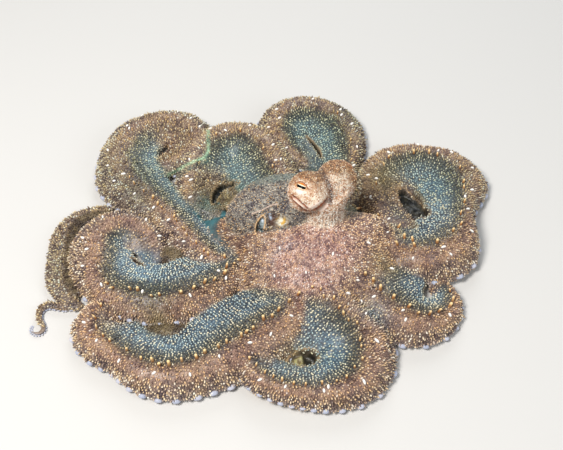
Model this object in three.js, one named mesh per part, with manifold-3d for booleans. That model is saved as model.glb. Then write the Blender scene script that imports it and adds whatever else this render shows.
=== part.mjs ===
// A long-armed octopus resting on the floor, its eight arms rolled in flat
// loops round the body. Millimetres, +Z up, floor at Z = 0.
// R1..R4 are the right arms from front to back, L1..L4 the left ones.
import * as THREE from 'three';
import { mergeVertices } from 'three/addons/utils/BufferGeometryUtils.js';
import Module from 'manifold-3d';

const wasm = await Module();
wasm.setup();

// ---- driving dimensions -------------------------------------------------
const ORIGIN = [-4.86, -8.675];         // floor point of the layout that becomes the origin
const GAP = 0.3;                    // clearance kept between neighbouring pieces
const STEP = 7.4;                   // length of one faceted stretch of an arm
const CROWN = [20, -20];            // middle of the arm crown on the floor
const CROWN_RING = 12;              // radius at which the arms leave the crown
const ARM_INSIDE = 31;               // distance from the crown's middle where an arm's own solid starts
const CROWN_SPAN = 48;              // radius of the web round the crown
const CROWN_TOP = 25;               // height of the web under the neck
const WEB_EDGE = 3;                 // thickness of the web at its hem
// Folds of the web that stand up before the mantle and beside the neck: place, height, spread.
const WEB_FOLDS = [[-20, -27, 8, 8], [-12, -25, 4.5, 8], [-4, -24, 2.5, 8], [5, -24, 1, 8], [46, -11, 5.5, 9], [54, -13, 2.5, 8]];
const CREST_AT = 0.36;              // where an arm is highest, from -1 inner to 1 outer edge
const CREST_MAX = 15.5;             // highest arm crest

// Each arm: side of the curl (1 anticlockwise, -1 clockwise), base direction on
// the crown, then the start point, heading and length of its free run, its
// rate of turn along that run in degrees per mm, its half widths, how far its
// edges ride up over a neighbour, and what its inner or outer side has extra.
const ARMS = {
  r1: { hand: -1, base: -72, at: [13.7, -53.7], head: -65, run: 112,
    turn: [1.0, 0.8, -3.38, -4.03, -1.4, -1.81, -4.62, -7.21],
    half: [20.3, 23.1, 22.3, 19.7, 15.6, 12.6, 12.2, 11.2, 7.6], lift: [0, 0, 0, 0, 2.5, 4, 3],
    outer: [0, 0, 0, 0, -2.6, -3.5, -3.9, -2, 0], parts: 4 },
  r2: { hand: -1, base: -117, at: [-7.7, -66.6], head: -147, run: 108,
    turn: [0.67, -0.01, -1.06, -2.29, -1.24, -0.94, -5.58, -10.54],
    half: [22, 23.5, 22.3, 18.9, 16.8, 16, 16.4, 14, 8], lift: [0, 0, 0, 0, 0, 0, 0],
    outer: [0, 0, -0.5, -2.8, -2.2, -0.4, 0.5, -1.2, -4, -2, 1.5, 1, 0], parts: 4 },
  r3: { hand: -1, base: -162, at: [-30.2, -33.3], head: -123, run: 130,
    turn: [-1.84, -1.77, -1.43, -1.64, -2.7, -5.21, -3.5, -0.14],
    half: [12.6, 16.5, 16.2, 15.4, 16.6, 16.8, 16, 11, 4], lift: [0, 2.5, 2.5, 1, 0, 0, 0],
    inner: [5, 3, 0, 0, 0, 0, 0, 0, 0],
    outer: [0, 2, 3.4, 2.4, 0.8, -1, -1, 0, 0], parts: 4 },
  r4: { hand: -1, base: 153, at: [-35.3, -25.2], head: 135, run: 168,
    turn: [-1.01, 0.49, 0.08, -1.76, -1.76, -3.62, -4.36, -1.09],
    half: [11.5, 11.5, 13, 18.1, 17.6, 15.4, 14.8, 12.5, 8.5], lift: [0, 1, 1.5, 0, 0, 2, 3],
    outer: [0, 0, 0, 0, 0, 0, 0.4, 0.9, -0.8, -0.2, 0.9, -1.8, -1.8, 0.4, 0, 0, 0], parts: 5 },
  l4: { hand: 1, base: 108, at: [-6, 26.1], head: 120, run: 95,
    turn: [-1.87, 1.01, 4.14, 4.78, 1.07, 1.04, 3.62, 6.24],
    half: [18, 19.7, 21.8, 22.5, 20, 15, 13.5, 9.5, 6.5], lift: [0, 0, 0, 0, 0, 0, 0],
    outer: [0, 0, 0, -1.6, -1.2, 0, 0, 0, 0], parts: 4 },
  l3: { hand: 1, base: 63, at: [34.6, 24.8], head: 88, run: 112,
    turn: [-0.49, 0.41, 1.44, 2.51, 4.2, 4.33, 1.73, -1.36],
    half: [9.7, 11.9, 14.1, 16, 17.1, 17.6, 15.3, 9.9, 4.9], lift: [0, 0, 0, 0, 1.5, 2, 1],
    outer: [-3, -4, -2.4, 0, 1.2, 1, 1, 0, 0], parts: 4 },
  l2: { hand: 1, base: 18, at: [55.9, -17.0], head: -52, run: 155,
    turn: [3.45, 3.4, 0.86, 1.31, 3.41, 3.25, 2.0, 1.74],
    half: [14.1, 20, 19.3, 16.4, 19.6, 18.6, 17.4, 14.6, 8], lift: [1, 3, 2.5, 0, 0, 0, 0],
    outer: [0, 0, 0, 0.8, -0.3, -5, -8.2, -7.4, -2.5, 2.2, 1.8, 0.6, -3.6, -2, 0, 0, 0, 0, 0, 0, 0], parts: 5 },
  l1: { hand: 1, base: -27, at: [48.7, -47.9], head: -49, run: 52,
    turn: [-0.71, 1.09, 2.83, 4.18, 4.77, 4.94, 5.47, 6.18],
    half: [21, 21, 20, 18, 15.2, 12.2, 9.6, 8, 6.5], lift: [0, 0, 0, 0, 0, 0, 0],
    outer: [0, 0, 0, 1, 0.6, -1, -1.3, -3, -3], parts: 3 },
};
// Free arm ends, slim and round: start, heading, length, turn, half widths, height.
const ENDS = {
  r4_6: { at: [-89.3, 8.6], head: -182, run: 83, turn: [1.07, 3.62, 2.02, -0.76, 3.32, 0.18],
    half: [3.5, 3.5, 4.6, 5.4, 5.1, 3.2], tall: 1.15, parts: 3 },
  r4_9: { at: [-96.9, -52.3], head: -146, run: 43,
    turn: [-4.15, -5.57, -1.25, 14.3, 9.47, 4.21, -23.65, -19.39, -11.25],
    half: [2.1, 2.4, 2.2, 1.9, 1.6, 1.1], tall: 1.6, parts: 2 },
  l4_5: { at: [-35.6, 12.5], head: 118, run: 25, turn: [-11, -11, -11.5, -12, -13],
    half: [5, 5.1, 5, 4.6, 3.8], tall: 1.1, parts: 1 },
  r2_5: { at: [-73, -47], head: -70, run: 30, turn: [2.6, 2.8, 2.4, 2.0],
    half: [4.0, 4.4, 4.2, 3.0], tall: 1.35, parts: 1 },
  r1_5: { at: [1.5, -86.5], head: 80, run: 24, turn: [-9, -12, -13, -12],
    half: [3.2, 3.4, 3.4, 2.8], tall: 1.5, parts: 1 },
};
const HEAD = { at: [21, -9, 37.5], face: -48, half: [10.5, 10, 11.5] };
const NECK = { foot: [20.5, -17, 16], half: [13, 12.5] };
const EYE_BULGE = { apart: 15.6, radius: 10.6, z: 38.5, lean: 1.5, rightShift: [-2.3, -0.3] };
const EYE = { radius: 3.6, right: [-0.4, -0.45, 0.8], left: [0.62, 0.42, 0.66] };
const MANTLE = { tip: [-27.5, -9, 12.5], neck: [27, -5, 31], half: [17.3, 15.8], floor: 3.2 };
const SIPHON = { from: [-1, -14, 22], to: [-10.5, -23.2, 25.5], radius: 4.3, bore: 2.5 };

// ---- small helpers --------------------------------------------------------
const RAD = Math.PI / 180;
const clamp = (v, a, b) => Math.min(b, Math.max(a, v));
const smooth = (a, b, v) => { const t = clamp((v - a) / (b - a), 0, 1); return t * t * (3 - 2 * t); };
function knots(list, u) {            // value at u in 0..1 of evenly spaced knots
  const f = clamp(u, 0, 1) * (list.length - 1), i = Math.min(list.length - 2, Math.floor(f));
  return list[i] + (list[i + 1] - list[i]) * (f - i);
}

// A closed solid from rings of equal count, capped flat at both ends.
function loft(rings) {
  const n = rings[0].length, pos = [], idx = [];
  for (const ring of rings) for (const p of ring) pos.push(...p);
  for (let i = 0; i + 1 < rings.length; i++) {
    for (let j = 0; j < n; j++) {
      const a = i * n + j, b = i * n + (j + 1) % n, c = a + n, d = b + n;
      idx.push(a, b, d, a, d, c);
    }
  }
  for (const [row, flip] of [[0, true], [rings.length - 1, false]]) {
    const mid = pos.length / 3, m = [0, 0, 0];
    for (const p of rings[row]) p.forEach((v, k) => { m[k] += v / n; });
    pos.push(...m);
    for (let j = 0; j < n; j++) {
      const a = row * n + j, b = row * n + (j + 1) % n;
      if (flip) idx.push(mid, b, a); else idx.push(mid, a, b);
    }
  }
  return solidOf(pos, idx);
}

function solidOf(pos, idx) {
  let g = new THREE.BufferGeometry();
  g.setAttribute('position', new THREE.Float32BufferAttribute(pos, 3));
  g.setIndex(idx);
  g = mergeVertices(g, 1e-4);
  const make = (tris) => new wasm.Manifold(new wasm.Mesh({
    numProp: 3, vertProperties: new Float32Array(g.attributes.position.array), triVerts: new Uint32Array(tris),
  }));
  let s = make(g.index.array);
  if (s.volume() < 0) {
    const t = Array.from(g.index.array);
    for (let i = 0; i < t.length; i += 3) [t[i], t[i + 1]] = [t[i + 1], t[i]];
    s = make(t);
  }
  return s;
}

function biggest(solid) {            // drops crumbs that a cut leaves behind
  const bits = solid.decompose();
  return bits.reduce((a, b) => (b.volume() > a.volume() ? b : a));
}

// ---- arms -------------------------------------------------------------------
// The centre line of an arm, one sample per millimetre: place, heading, turn,
// half width and lift. The first stretch sweeps from the crown to the free run.
function centreLine(arm) {
  const out = [], n = Math.round(arm.run), d = arm.run / n;
  let x = arm.at[0], y = arm.at[1], h = arm.head * RAD;
  for (let i = 0; i <= n; i++) {
    const u = i / n, k = knots(arm.turn, u) * RAD;
    out.push({ x, y, h, k, u, w: knots(arm.half, u), lift: arm.lift ? knots(arm.lift, u) : 0,
      inner: arm.inner ? knots(arm.inner, u) : 0, outer: arm.outer ? knots(arm.outer, u) : 0 });
    const hm = h + k * d / 2;
    x += Math.cos(hm) * d; y += Math.sin(hm) * d; h += k * d;
  }
  if (arm.base === undefined) return out;
  const b = arm.base * RAD, p0 = [CROWN[0] + CROWN_RING * Math.cos(b), CROWN[1] + CROWN_RING * Math.sin(b)];
  const p1 = arm.at, h1 = arm.head * RAD, m = Math.hypot(p1[0] - p0[0], p1[1] - p0[1]);
  const steps = Math.max(4, Math.round(m)), lead = [];
  for (let i = 0; i < steps; i++) {
    const t = i / steps, a = 2 * t ** 3 - 3 * t * t + 1, c = t ** 3 - 2 * t * t + t, e = -2 * t ** 3 + 3 * t * t, f = t ** 3 - t * t;
    const at = (q) => a * p0[q] + c * m * (q ? Math.sin(b) : Math.cos(b)) + e * p1[q] + f * m * (q ? Math.sin(h1) : Math.cos(h1));
    lead.push({ x: at(0), y: at(1), k: 0, u: t - 1, w: 10 + (arm.half[0] - 10) * smooth(0, 1, t), lift: arm.lift[0] * t,
      inner: arm.inner ? arm.inner[0] * t : 0, outer: arm.outer ? arm.outer[0] * t : 0 });
  }
  const all = lead.concat(out);
  for (let i = 0; i < steps; i++) all[i].h = Math.atan2(all[i + 1].y - all[i].y, all[i + 1].x - all[i].x);
  const h0 = all[steps].h;
  all[steps - 1].h += Math.round((h0 - all[steps - 1].h) / (2 * Math.PI)) * 2 * Math.PI;
  for (let i = steps - 2; i >= 0; i--) all[i].h += Math.round((all[i + 1].h - all[i].h) / (2 * Math.PI)) * 2 * Math.PI;
  for (let i = 0; i < steps; i++) all[i].k = (all[i + 1].h - all[i].h) / Math.hypot(all[i + 1].x - all[i].x, all[i + 1].y - all[i].y);
  const from = all.findIndex((s) => Math.hypot(s.x - CROWN[0], s.y - CROWN[1]) >= ARM_INSIDE);
  return all.slice(from);
}

// One cross-section of a rolled arm: low lip at the loop's hole, a slope up to
// the crest, and a steep outer side down to the sucker rim.
function armRing(s, hand, grow) {
  const tight = (grow ? 0.96 : 0.93) / Math.max(1e-9, Math.abs(s.k)), bend = s.k * hand;
  const wi = Math.min(s.w + s.inner + grow, bend > 0 ? tight : 1e9), wo = Math.min(s.w + s.outer + grow, bend < 0 ? tight : 1e9);
  const crest = Math.min(CREST_MAX, 3.2 + 0.56 * s.w) + s.lift + grow;
  const lip = 0.42 * crest + 0.6 + 0.4 * s.lift, rim = Math.min(3, 0.3 * crest) + s.lift + grow;
  const low = grow ? -1 : 0;
  const top = (v) => (v < CREST_AT
    ? lip + (crest - lip) * Math.pow(smooth(-1.15, CREST_AT, v), 0.85)
    : rim + (crest - rim) * Math.pow(Math.max(0, 1 - Math.pow((v - CREST_AT) / (1 - CREST_AT), 2.1)), 0.9));
  const prof = [[-0.82, low], [-1, 0.45 * lip], [-0.93, 0.98 * lip], [-0.5, top(-0.5)], [-0.05, top(-0.05)],
    [CREST_AT, crest], [0.68, top(0.68)], [0.88, top(0.88)], [1, 0.5 * rim], [0.94, low]];
  const nx = Math.sin(s.h) * hand, ny = -Math.cos(s.h) * hand;   // towards the outer side
  const ring = prof.map(([v, z]) => { const o = v < 0 ? v * wi : v * wo; return [s.x + nx * o, s.y + ny * o, z]; });
  return hand > 0 ? ring : ring.reverse();
}

function endRing(s, tall, grow) {      // slim round arm end with a flat sole
  const w = s.w + grow, z = s.w * tall + grow, low = grow ? -1 : 0, nx = Math.sin(s.h), ny = -Math.cos(s.h);
  return [[-0.8, low], [-1, 0.38 * z], [-0.72, 0.8 * z], [0, z], [0.72, 0.8 * z], [1, 0.38 * z], [0.8, low]]
    .map(([v, q]) => [s.x + nx * v * w, s.y + ny * v * w, q]);
}

// Cuts a centre line into lengths and lofts each of them, plain and grown.
function lengths(line, count, ringOf, taper) {
  const parts = [], total = line.length - 1;
  for (let p = 0; p < count; p++) {
    const a = Math.round(total * p / count), b = Math.round(total * (p + 1) / count);
    const last = p === count - 1;
    const build = (grow) => {
      const n = Math.max(2, Math.round((b - a) / Math.min(STEP, 1.6 * line[a].w))), rings = [];
      for (let i = 0; i <= n; i++) {
        const s = { ...line[Math.round(a + (b - a) * i / n)] };
        if (last && i === n && taper) s.w *= 0.8;
        if (i === 0) { s.x -= Math.cos(s.h) * grow; s.y -= Math.sin(s.h) * grow; }
        if (i === n) { s.x += Math.cos(s.h) * grow; s.y += Math.sin(s.h) * grow; }
        rings.push(ringOf(s, grow));
      }
      return loft(rings);
    };
    const solid = build(0);
    parts.push({ solid, grown: build(GAP).add(solid) });
  }
  return parts;
}

// ---- crown, mantle, head ------------------------------------------------------
function crownSolid(grow) {
  const around = 24, bands = [0.2, 0.4, 0.58, 0.76, 0.9, 1], rings = [];
  const reach = (t) => {
    let r = CROWN_SPAN;
    const d = ((t / RAD - 166 + 540) % 360) - 180;          // web between the two back right arms
    r += 20 * Math.exp(-((d / 15) ** 2));
    const e = ((t / RAD - 62 + 540) % 360) - 180;           // the crown is narrow behind the head
    r -= 16 * Math.exp(-((e / 42) ** 2));
    return r + grow;
  };
  const height = (f, x, y) => {
    let z = WEB_EDGE + (CROWN_TOP - WEB_EDGE) * Math.pow(1 - f * f, 1.25);
    for (const [a, b, tall, wide] of WEB_FOLDS) z += tall * (1 - f ** 4) * Math.exp(-((x - a) ** 2 + (y - b) ** 2) / (wide * wide));
    return Math.min(z, CROWN_TOP + 1) + grow;
  };
  const circle = (f, z, pull = 0) => Array.from({ length: around }, (_, i) => {
    const t = i / around * 2 * Math.PI, r = reach(t) * f - pull;
    const x = CROWN[0] + r * Math.cos(t), y = CROWN[1] + r * Math.sin(t);
    return [x, y, z === undefined ? height(f, x, y) : z];
  });
  rings.push(circle(0.5, grow ? -1 : 0), circle(1, grow ? -1 : 0, 1.5));
  for (const f of bands.slice().reverse()) rings.push(circle(f));
  return loft(rings);
}

// An egg along a line: rings stand across it, swollen low on the sides.
function egg(from, to, wide, tall, floor, grow, rows = 8, around = 14) {
  const d = to.map((v, k) => v - from[k]), len = Math.hypot(...d), ax = d.map((v) => v / len);
  const side = [-ax[1], ax[0], 0], sl = Math.hypot(...side); side.forEach((_, k) => { side[k] /= sl; });
  const up = [side[1] * ax[2], -side[0] * ax[2], side[0] * ax[1] - side[1] * ax[0]];
  const rings = [];
  for (let i = 0; i < rows; i++) {
    const t = 0.5 - 0.5 * Math.cos(Math.PI * (0.05 + 0.9 * i / (rows - 1)));
    const r = Math.pow(Math.sin(Math.PI * Math.pow(t, 0.86)), 0.62);
    const ring = [];
    for (let j = 0; j < around; j++) {
      const q = j / around * 2 * Math.PI, c = Math.cos(q) * (wide * r + grow), s = Math.sin(q) * (tall * r + grow);
      const p = from.map((v, k) => v + d[k] * t + side[k] * c + Math.sign(up[2]) * up[k] * s);
      if (i === 0) p.forEach((_, k) => { p[k] -= ax[k] * grow; });
      if (i === rows - 1) p.forEach((_, k) => { p[k] += ax[k] * grow; });
      p[2] = Math.max(p[2], floor - grow);
      ring.push(p);
    }
    rings.push(ring);
  }
  return loft(rings);
}

function ball(at, radii, turn = 0, w = 12, h = 8) {
  let g = new THREE.SphereGeometry(1, w, h);
  g.rotateX(Math.PI / 2);
  g.scale(...radii); g.rotateZ(turn * RAD); g.translate(...at);
  g.deleteAttribute('normal'); g.deleteAttribute('uv');
  g = mergeVertices(g, 1e-4);
  return solidOf(Array.from(g.attributes.position.array), Array.from(g.index.array));
}

const across = [Math.cos((HEAD.face + 90) * RAD), Math.sin((HEAD.face + 90) * RAD)];   // towards the left eye
const bulgeAt = (side) => {
  const [sx, sy] = side < 0 ? EYE_BULGE.rightShift : [0, 0];
  return [HEAD.at[0] + across[0] * side * EYE_BULGE.apart / 2 + sx, HEAD.at[1] + across[1] * side * EYE_BULGE.apart / 2 + sy, EYE_BULGE.z - side * EYE_BULGE.lean];
};

function headSolid(grow) {
  const rows = [], n = 4;
  for (let i = 0; i <= n; i++) {                      // neck: from the crown up into the head
    const t = i / n, z = NECK.foot[2] + (HEAD.at[2] - NECK.foot[2]) * t, f = HEAD.face * RAD;
    const cx = NECK.foot[0] + (HEAD.at[0] - NECK.foot[0]) * t, cy = NECK.foot[1] + (HEAD.at[1] - NECK.foot[1]) * t;
    const pinch = 1 - 0.22 * Math.sin(Math.PI * clamp(t * 1.15, 0, 1));
    rows.push(Array.from({ length: 12 }, (_, j) => {
      const q = j / 12 * 2 * Math.PI, a = (NECK.half[0] * pinch + grow) * Math.sin(q), b = (NECK.half[1] * pinch + grow) * Math.cos(q);
      return [cx + across[0] * a + Math.cos(f) * b, cy + across[1] * a + Math.sin(f) * b, z];
    }));
  }
  let s = loft(rows).add(ball(HEAD.at, HEAD.half.map((v) => v + grow), HEAD.face));
  for (const side of [-1, 1]) s = s.add(ball(bulgeAt(side), [1, 1, 1].map(() => EYE_BULGE.radius + grow)));
  return s;
}

function eyeSolid(side, grow) {
  const dir = side < 0 ? EYE.right : EYE.left, l = Math.hypot(...dir), c = bulgeAt(side);
  const at = c.map((v, k) => v + dir[k] / l * (EYE_BULGE.radius - EYE.radius * 0.72));
  return ball(at, [EYE.radius + grow, EYE.radius + grow, EYE.radius + grow], 0, 10, 7);
}

function tube(from, to, r0, r1, n = 14) {
  const d = to.map((v, k) => v - from[k]), l = Math.hypot(...d), ax = d.map((v) => v / l);
  const side = [-ax[1], ax[0], 0], sl = Math.hypot(...side); side.forEach((_, k) => { side[k] /= sl; });
  const up = [-side[1] * ax[2], side[0] * ax[2], side[1] * ax[0] - side[0] * ax[1]];
  return loft([0, 0.5, 1].map((t) => Array.from({ length: n }, (_, j) => {
    const q = j / n * 2 * Math.PI, r = r0 + (r1 - r0) * t;
    return from.map((v, k) => v + d[k] * t + side[k] * r * Math.cos(q) + up[k] * r * Math.sin(q));
  })));
}

// ---- assembly: earlier pieces keep their shape, later ones are cut back ------
const pieces = [];
const put = (name, solid, grown) => pieces.push({ name, solid, grown });
for (const side of [-1, 1]) put(side < 0 ? 'eye_right' : 'eye_left', eyeSolid(side, 0), eyeSolid(side, GAP));
put('head', headSolid(0), headSolid(GAP));
const bore = tube(SIPHON.from.map((v, k) => v + 0.45 * (SIPHON.to[k] - SIPHON.from[k])), SIPHON.to.map((v, k) => v + 0.2 * (v - SIPHON.from[k])), SIPHON.bore, SIPHON.bore);
put('siphon', tube(SIPHON.from, SIPHON.to, SIPHON.radius, SIPHON.radius * 0.9).subtract(bore), tube(SIPHON.from, SIPHON.to, SIPHON.radius + GAP, SIPHON.radius * 0.9 + GAP));
put('mantle', egg(MANTLE.tip, MANTLE.neck, MANTLE.half[0], MANTLE.half[1], MANTLE.floor, 0), egg(MANTLE.tip, MANTLE.neck, MANTLE.half[0], MANTLE.half[1], MANTLE.floor, GAP));
put('web', crownSolid(0), crownSolid(GAP));

const rolled = {};
for (const [name, arm] of Object.entries(ARMS)) rolled[name] = lengths(centreLine(arm), arm.parts, (s, g) => armRing(s, arm.hand, g), true);
for (const [name, end] of Object.entries(ENDS)) rolled[name] = lengths(centreLine(end), end.parts, (s, g) => endRing(s, end.tall, g), true);
const order = ['l4_5', 'r1_5', 'r2_5', 'r4_9', 'r4_6', 'r1', 'r3', 'r4', 'l2', 'l3', 'r2', 'l1', 'l4'];
for (const name of order) {
  const stem = /_\d$/.test(name) ? name.slice(0, -2) : name, first = /_\d$/.test(name) ? Number(name.slice(-1)) : 1;
  rolled[name].forEach((p, i) => put(`arm_${stem}_${first + i}`, p.solid, p.grown));
}

const boxOf = (s) => { const b = s.boundingBox(); return [b.min, b.max]; };
const apart = (a, b) => [0, 1, 2].some((k) => a[0][k] > b[1][k] || b[0][k] > a[1][k]);
pieces.forEach((p) => { p.box = boxOf(p.grown); });
const result = new THREE.Group();
const TINT = { eye: [0x1c1a18, 0.1], head: [0xb98f76, 0.5], mantle: [0x8d7d6c, 0.6], siphon: [0x9aa6a8, 0.5], web: [0xa98474, 0.55], arm: [0x8c7869, 0.6] };
pieces.forEach((p, i) => {
  let s = p.solid;
  for (let j = 0; j < i; j++) if (!apart(p.box, pieces[j].box)) s = s.subtract(pieces[j].grown);
  if (s.volume() < 1) return;
  s = biggest(s);
  const m = s.getMesh(), g = new THREE.BufferGeometry();
  g.setAttribute('position', new THREE.Float32BufferAttribute(Array.from(m.vertProperties), 3));
  g.setIndex(Array.from(m.triVerts));
  g.translate(-ORIGIN[0], -ORIGIN[1], 0);
  const [color, roughness] = TINT[p.name.split('_')[0]];
  const mesh = new THREE.Mesh(g, new THREE.MeshStandardMaterial({ color, roughness, metalness: 0 }));
  mesh.name = p.name;
  result.add(mesh);
});

export default result;
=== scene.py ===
import math
import bpy
import bmesh
import numpy as np
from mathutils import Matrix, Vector
from mathutils.kdtree import KDTree


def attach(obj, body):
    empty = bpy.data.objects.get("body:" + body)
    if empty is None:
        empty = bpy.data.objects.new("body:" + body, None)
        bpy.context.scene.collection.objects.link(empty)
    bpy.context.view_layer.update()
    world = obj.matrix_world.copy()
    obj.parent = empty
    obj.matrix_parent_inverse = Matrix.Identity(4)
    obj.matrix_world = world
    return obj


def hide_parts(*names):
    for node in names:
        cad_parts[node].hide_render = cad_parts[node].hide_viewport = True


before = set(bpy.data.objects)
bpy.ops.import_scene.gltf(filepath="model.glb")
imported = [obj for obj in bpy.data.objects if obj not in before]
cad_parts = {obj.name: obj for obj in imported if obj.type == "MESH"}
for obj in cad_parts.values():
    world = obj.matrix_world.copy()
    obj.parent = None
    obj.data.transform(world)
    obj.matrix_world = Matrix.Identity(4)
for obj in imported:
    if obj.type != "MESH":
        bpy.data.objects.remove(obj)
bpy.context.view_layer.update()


rng = np.random.default_rng(20)
RAD = math.pi / 180

# ---- sizes of the animal, mm, the same as the solids ---------------------------
ORIGIN = np.array([-4.86, -8.675, 0.0])
CROWN = np.array([20.0, -20.0])
CROWN_RING, ARM_INSIDE, CROWN_SPAN, CROWN_TOP, WEB_EDGE = 12, 31, 48, 25, 3
CREST_AT, CREST_MAX = 0.36, 15.5
INSET = 0.75          # the skin lies this far below the solids' tops: the height of the small papillae
WEB_FOLDS = [(-20, -27, 8, 8), (-12, -25, 4.5, 8), (-4, -24, 2.5, 8), (5, -24, 1, 8), (46, -11, 5.5, 9), (54, -13, 2.5, 8)]
SUCKER_GAP = 5.6      # one sucker to each scallop of the rim
SOLE = 1.5            # the flat skin under the arms; suckers fill the room below it
ARMS = {
    "r1": dict(hand=-1, base=-72, at=(13.7, -53.7), head=-65, run=112, turn=[1.0, 0.8, -3.38, -4.03, -1.4, -1.81, -4.62, -7.21],
               half=[20.3, 23.1, 22.3, 19.7, 15.6, 12.6, 12.2, 11.2, 7.6], lift=[0, 0, 0, 0, 2.5, 4, 3],
               outer=[0, 0, 0, 0, -2.6, -3.5, -3.9, -2, 0]),
    "r2": dict(hand=-1, base=-117, at=(-7.7, -66.6), head=-147, run=108, turn=[0.67, -0.01, -1.06, -2.29, -1.24, -0.94, -5.58, -10.54],
               half=[22, 23.5, 22.3, 18.9, 16.8, 16, 16.4, 14, 8], lift=[0, 0, 0, 0, 0, 0, 0],
               outer=[0, 0, -0.5, -2.8, -2.2, -0.4, 0.5, -1.2, -4, -2, 1.5, 1, 0]),
    "r3": dict(hand=-1, base=-162, at=(-30.2, -33.3), head=-123, run=130, turn=[-1.84, -1.77, -1.43, -1.64, -2.7, -5.21, -3.5, -0.14],
               half=[12.6, 16.5, 16.2, 15.4, 16.6, 16.8, 16, 11, 4], lift=[0, 2.5, 2.5, 1, 0, 0, 0],
               inner=[5, 3, 0, 0, 0, 0, 0, 0, 0],
               outer=[0, 2, 3.4, 2.4, 0.8, -1, -1, 0, 0]),
    "r4": dict(hand=-1, base=153, at=(-35.3, -25.2), head=135, run=168, turn=[-1.01, 0.49, 0.08, -1.76, -1.76, -3.62, -4.36, -1.09],
               half=[11.5, 11.5, 13, 18.1, 17.6, 15.4, 14.8, 12.5, 8.5], lift=[0, 1, 1.5, 0, 0, 2, 3],
               outer=[0, 0, 0, 0, 0, 0, 0.4, 0.9, -0.8, -0.2, 0.9, -1.8, -1.8, 0.4, 0, 0, 0]),
    "l4": dict(hand=1, base=108, at=(-6, 26.1), head=120, run=95, turn=[-1.87, 1.01, 4.14, 4.78, 1.07, 1.04, 3.62, 6.24],
               half=[18, 19.7, 21.8, 22.5, 20, 15, 13.5, 9.5, 6.5], lift=[0, 0, 0, 0, 0, 0, 0],
               outer=[0, 0, 0, -1.6, -1.2, 0, 0, 0, 0]),
    "l3": dict(hand=1, base=63, at=(34.6, 24.8), head=88, run=112, turn=[-0.49, 0.41, 1.44, 2.51, 4.2, 4.33, 1.73, -1.36],
               half=[9.7, 11.9, 14.1, 16, 17.1, 17.6, 15.3, 9.9, 4.9], lift=[0, 0, 0, 0, 1.5, 2, 1],
               outer=[-3, -4, -2.4, 0, 1.2, 1, 1, 0, 0]),
    "l2": dict(hand=1, base=18, at=(55.9, -17.0), head=-52, run=155, turn=[3.45, 3.4, 0.86, 1.31, 3.41, 3.25, 2.0, 1.74],
               half=[14.1, 20, 19.3, 16.4, 19.6, 18.6, 17.4, 14.6, 8], lift=[1, 3, 2.5, 0, 0, 0, 0],
               outer=[0, 0, 0, 0.8, -0.3, -5, -8.2, -7.4, -2.5, 2.2, 1.8, 0.6, -3.6, -2, 0, 0, 0, 0, 0, 0, 0]),
    "l1": dict(hand=1, base=-27, at=(48.7, -47.9), head=-49, run=52, turn=[-0.71, 1.09, 2.83, 4.18, 4.77, 4.94, 5.47, 6.18],
               half=[21, 21, 20, 18, 15.2, 12.2, 9.6, 8, 6.5], lift=[0, 0, 0, 0, 0, 0, 0],
               outer=[0, 0, 0, 1, 0.6, -1, -1.3, -3, -3]),
}
ENDS = {
    "r4b": dict(hand=1, at=(-89.3, 8.6), head=-182, run=83, turn=[1.07, 3.62, 2.02, -0.76, 3.32, 0.18], half=[3.5, 3.5, 4.6, 5.4, 5.1, 3.2], tall=1.15),
    "r4c": dict(hand=-1, at=(-96.9, -52.3), head=-146, run=43, turn=[-4.15, -5.57, -1.25, 14.3, 9.47, 4.21, -23.65, -19.39, -11.25], half=[2.1, 2.4, 2.2, 1.9, 1.6, 1.1], tall=1.6),
    "l4b": dict(hand=1, at=(-35.6, 12.5), head=118, run=25, turn=[-11, -11, -11.5, -12, -13], half=[5, 5.1, 5, 4.6, 3.8], tall=1.1),
    "r2b": dict(hand=1, at=(-73, -47), head=-70, run=30, turn=[2.6, 2.8, 2.4, 2.0], half=[4.0, 4.4, 4.2, 3.0], tall=1.35),
    "r1b": dict(hand=1, at=(1.5, -86.5), head=80, run=24, turn=[-9, -12, -13, -12], half=[3.2, 3.4, 3.4, 2.8], tall=1.5),
}
HEAD_AT, HEAD_FACE, HEAD_HALF = np.array([21, -9, 37.5]), -48, (10.5, 10, 11.5)
NECK_FOOT, NECK_HALF = np.array([20.5, -17, 16.0]), (13, 12.5)
BULGE = dict(apart=15.6, radius=10.6, z=38.5, lean=1.5, shift=(-2.3, -0.3))
EYE = dict(radius=3.6, right=(-0.4, -0.45, 0.8), left=(0.62, 0.42, 0.66))
MANTLE = dict(tip=np.array([-27.5, -9, 12.5]), neck=np.array([27.0, -5, 31]), half=(17.3, 15.8), floor=3.2)
SIPHON = dict(a=np.array([-1.0, -14, 22]), b=np.array([-10.5, -23.2, 25.5]), radius=4.3, bore=2.5)


def sm(a, b, v):
    t = np.clip((np.asarray(v, float) - a) / (b - a), 0, 1)
    return t * t * (3 - 2 * t)


def bell(v, at, wide):
    return np.exp(-(((np.asarray(v, float) - at) / wide) ** 2))


def knots(values, u):
    return np.interp(np.clip(u, 0, 1), np.linspace(0, 1, len(values)), values)


def unit(v):
    v = np.asarray(v, float)
    return v / np.maximum(np.linalg.norm(v, axis=-1, keepdims=True), 1e-12)


def blur(a, n):
    if n < 1:
        return a
    k = np.hanning(2 * n + 3)[1:-1]
    return np.convolve(np.pad(a, n, "edge"), k / k.sum(), "valid")


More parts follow.
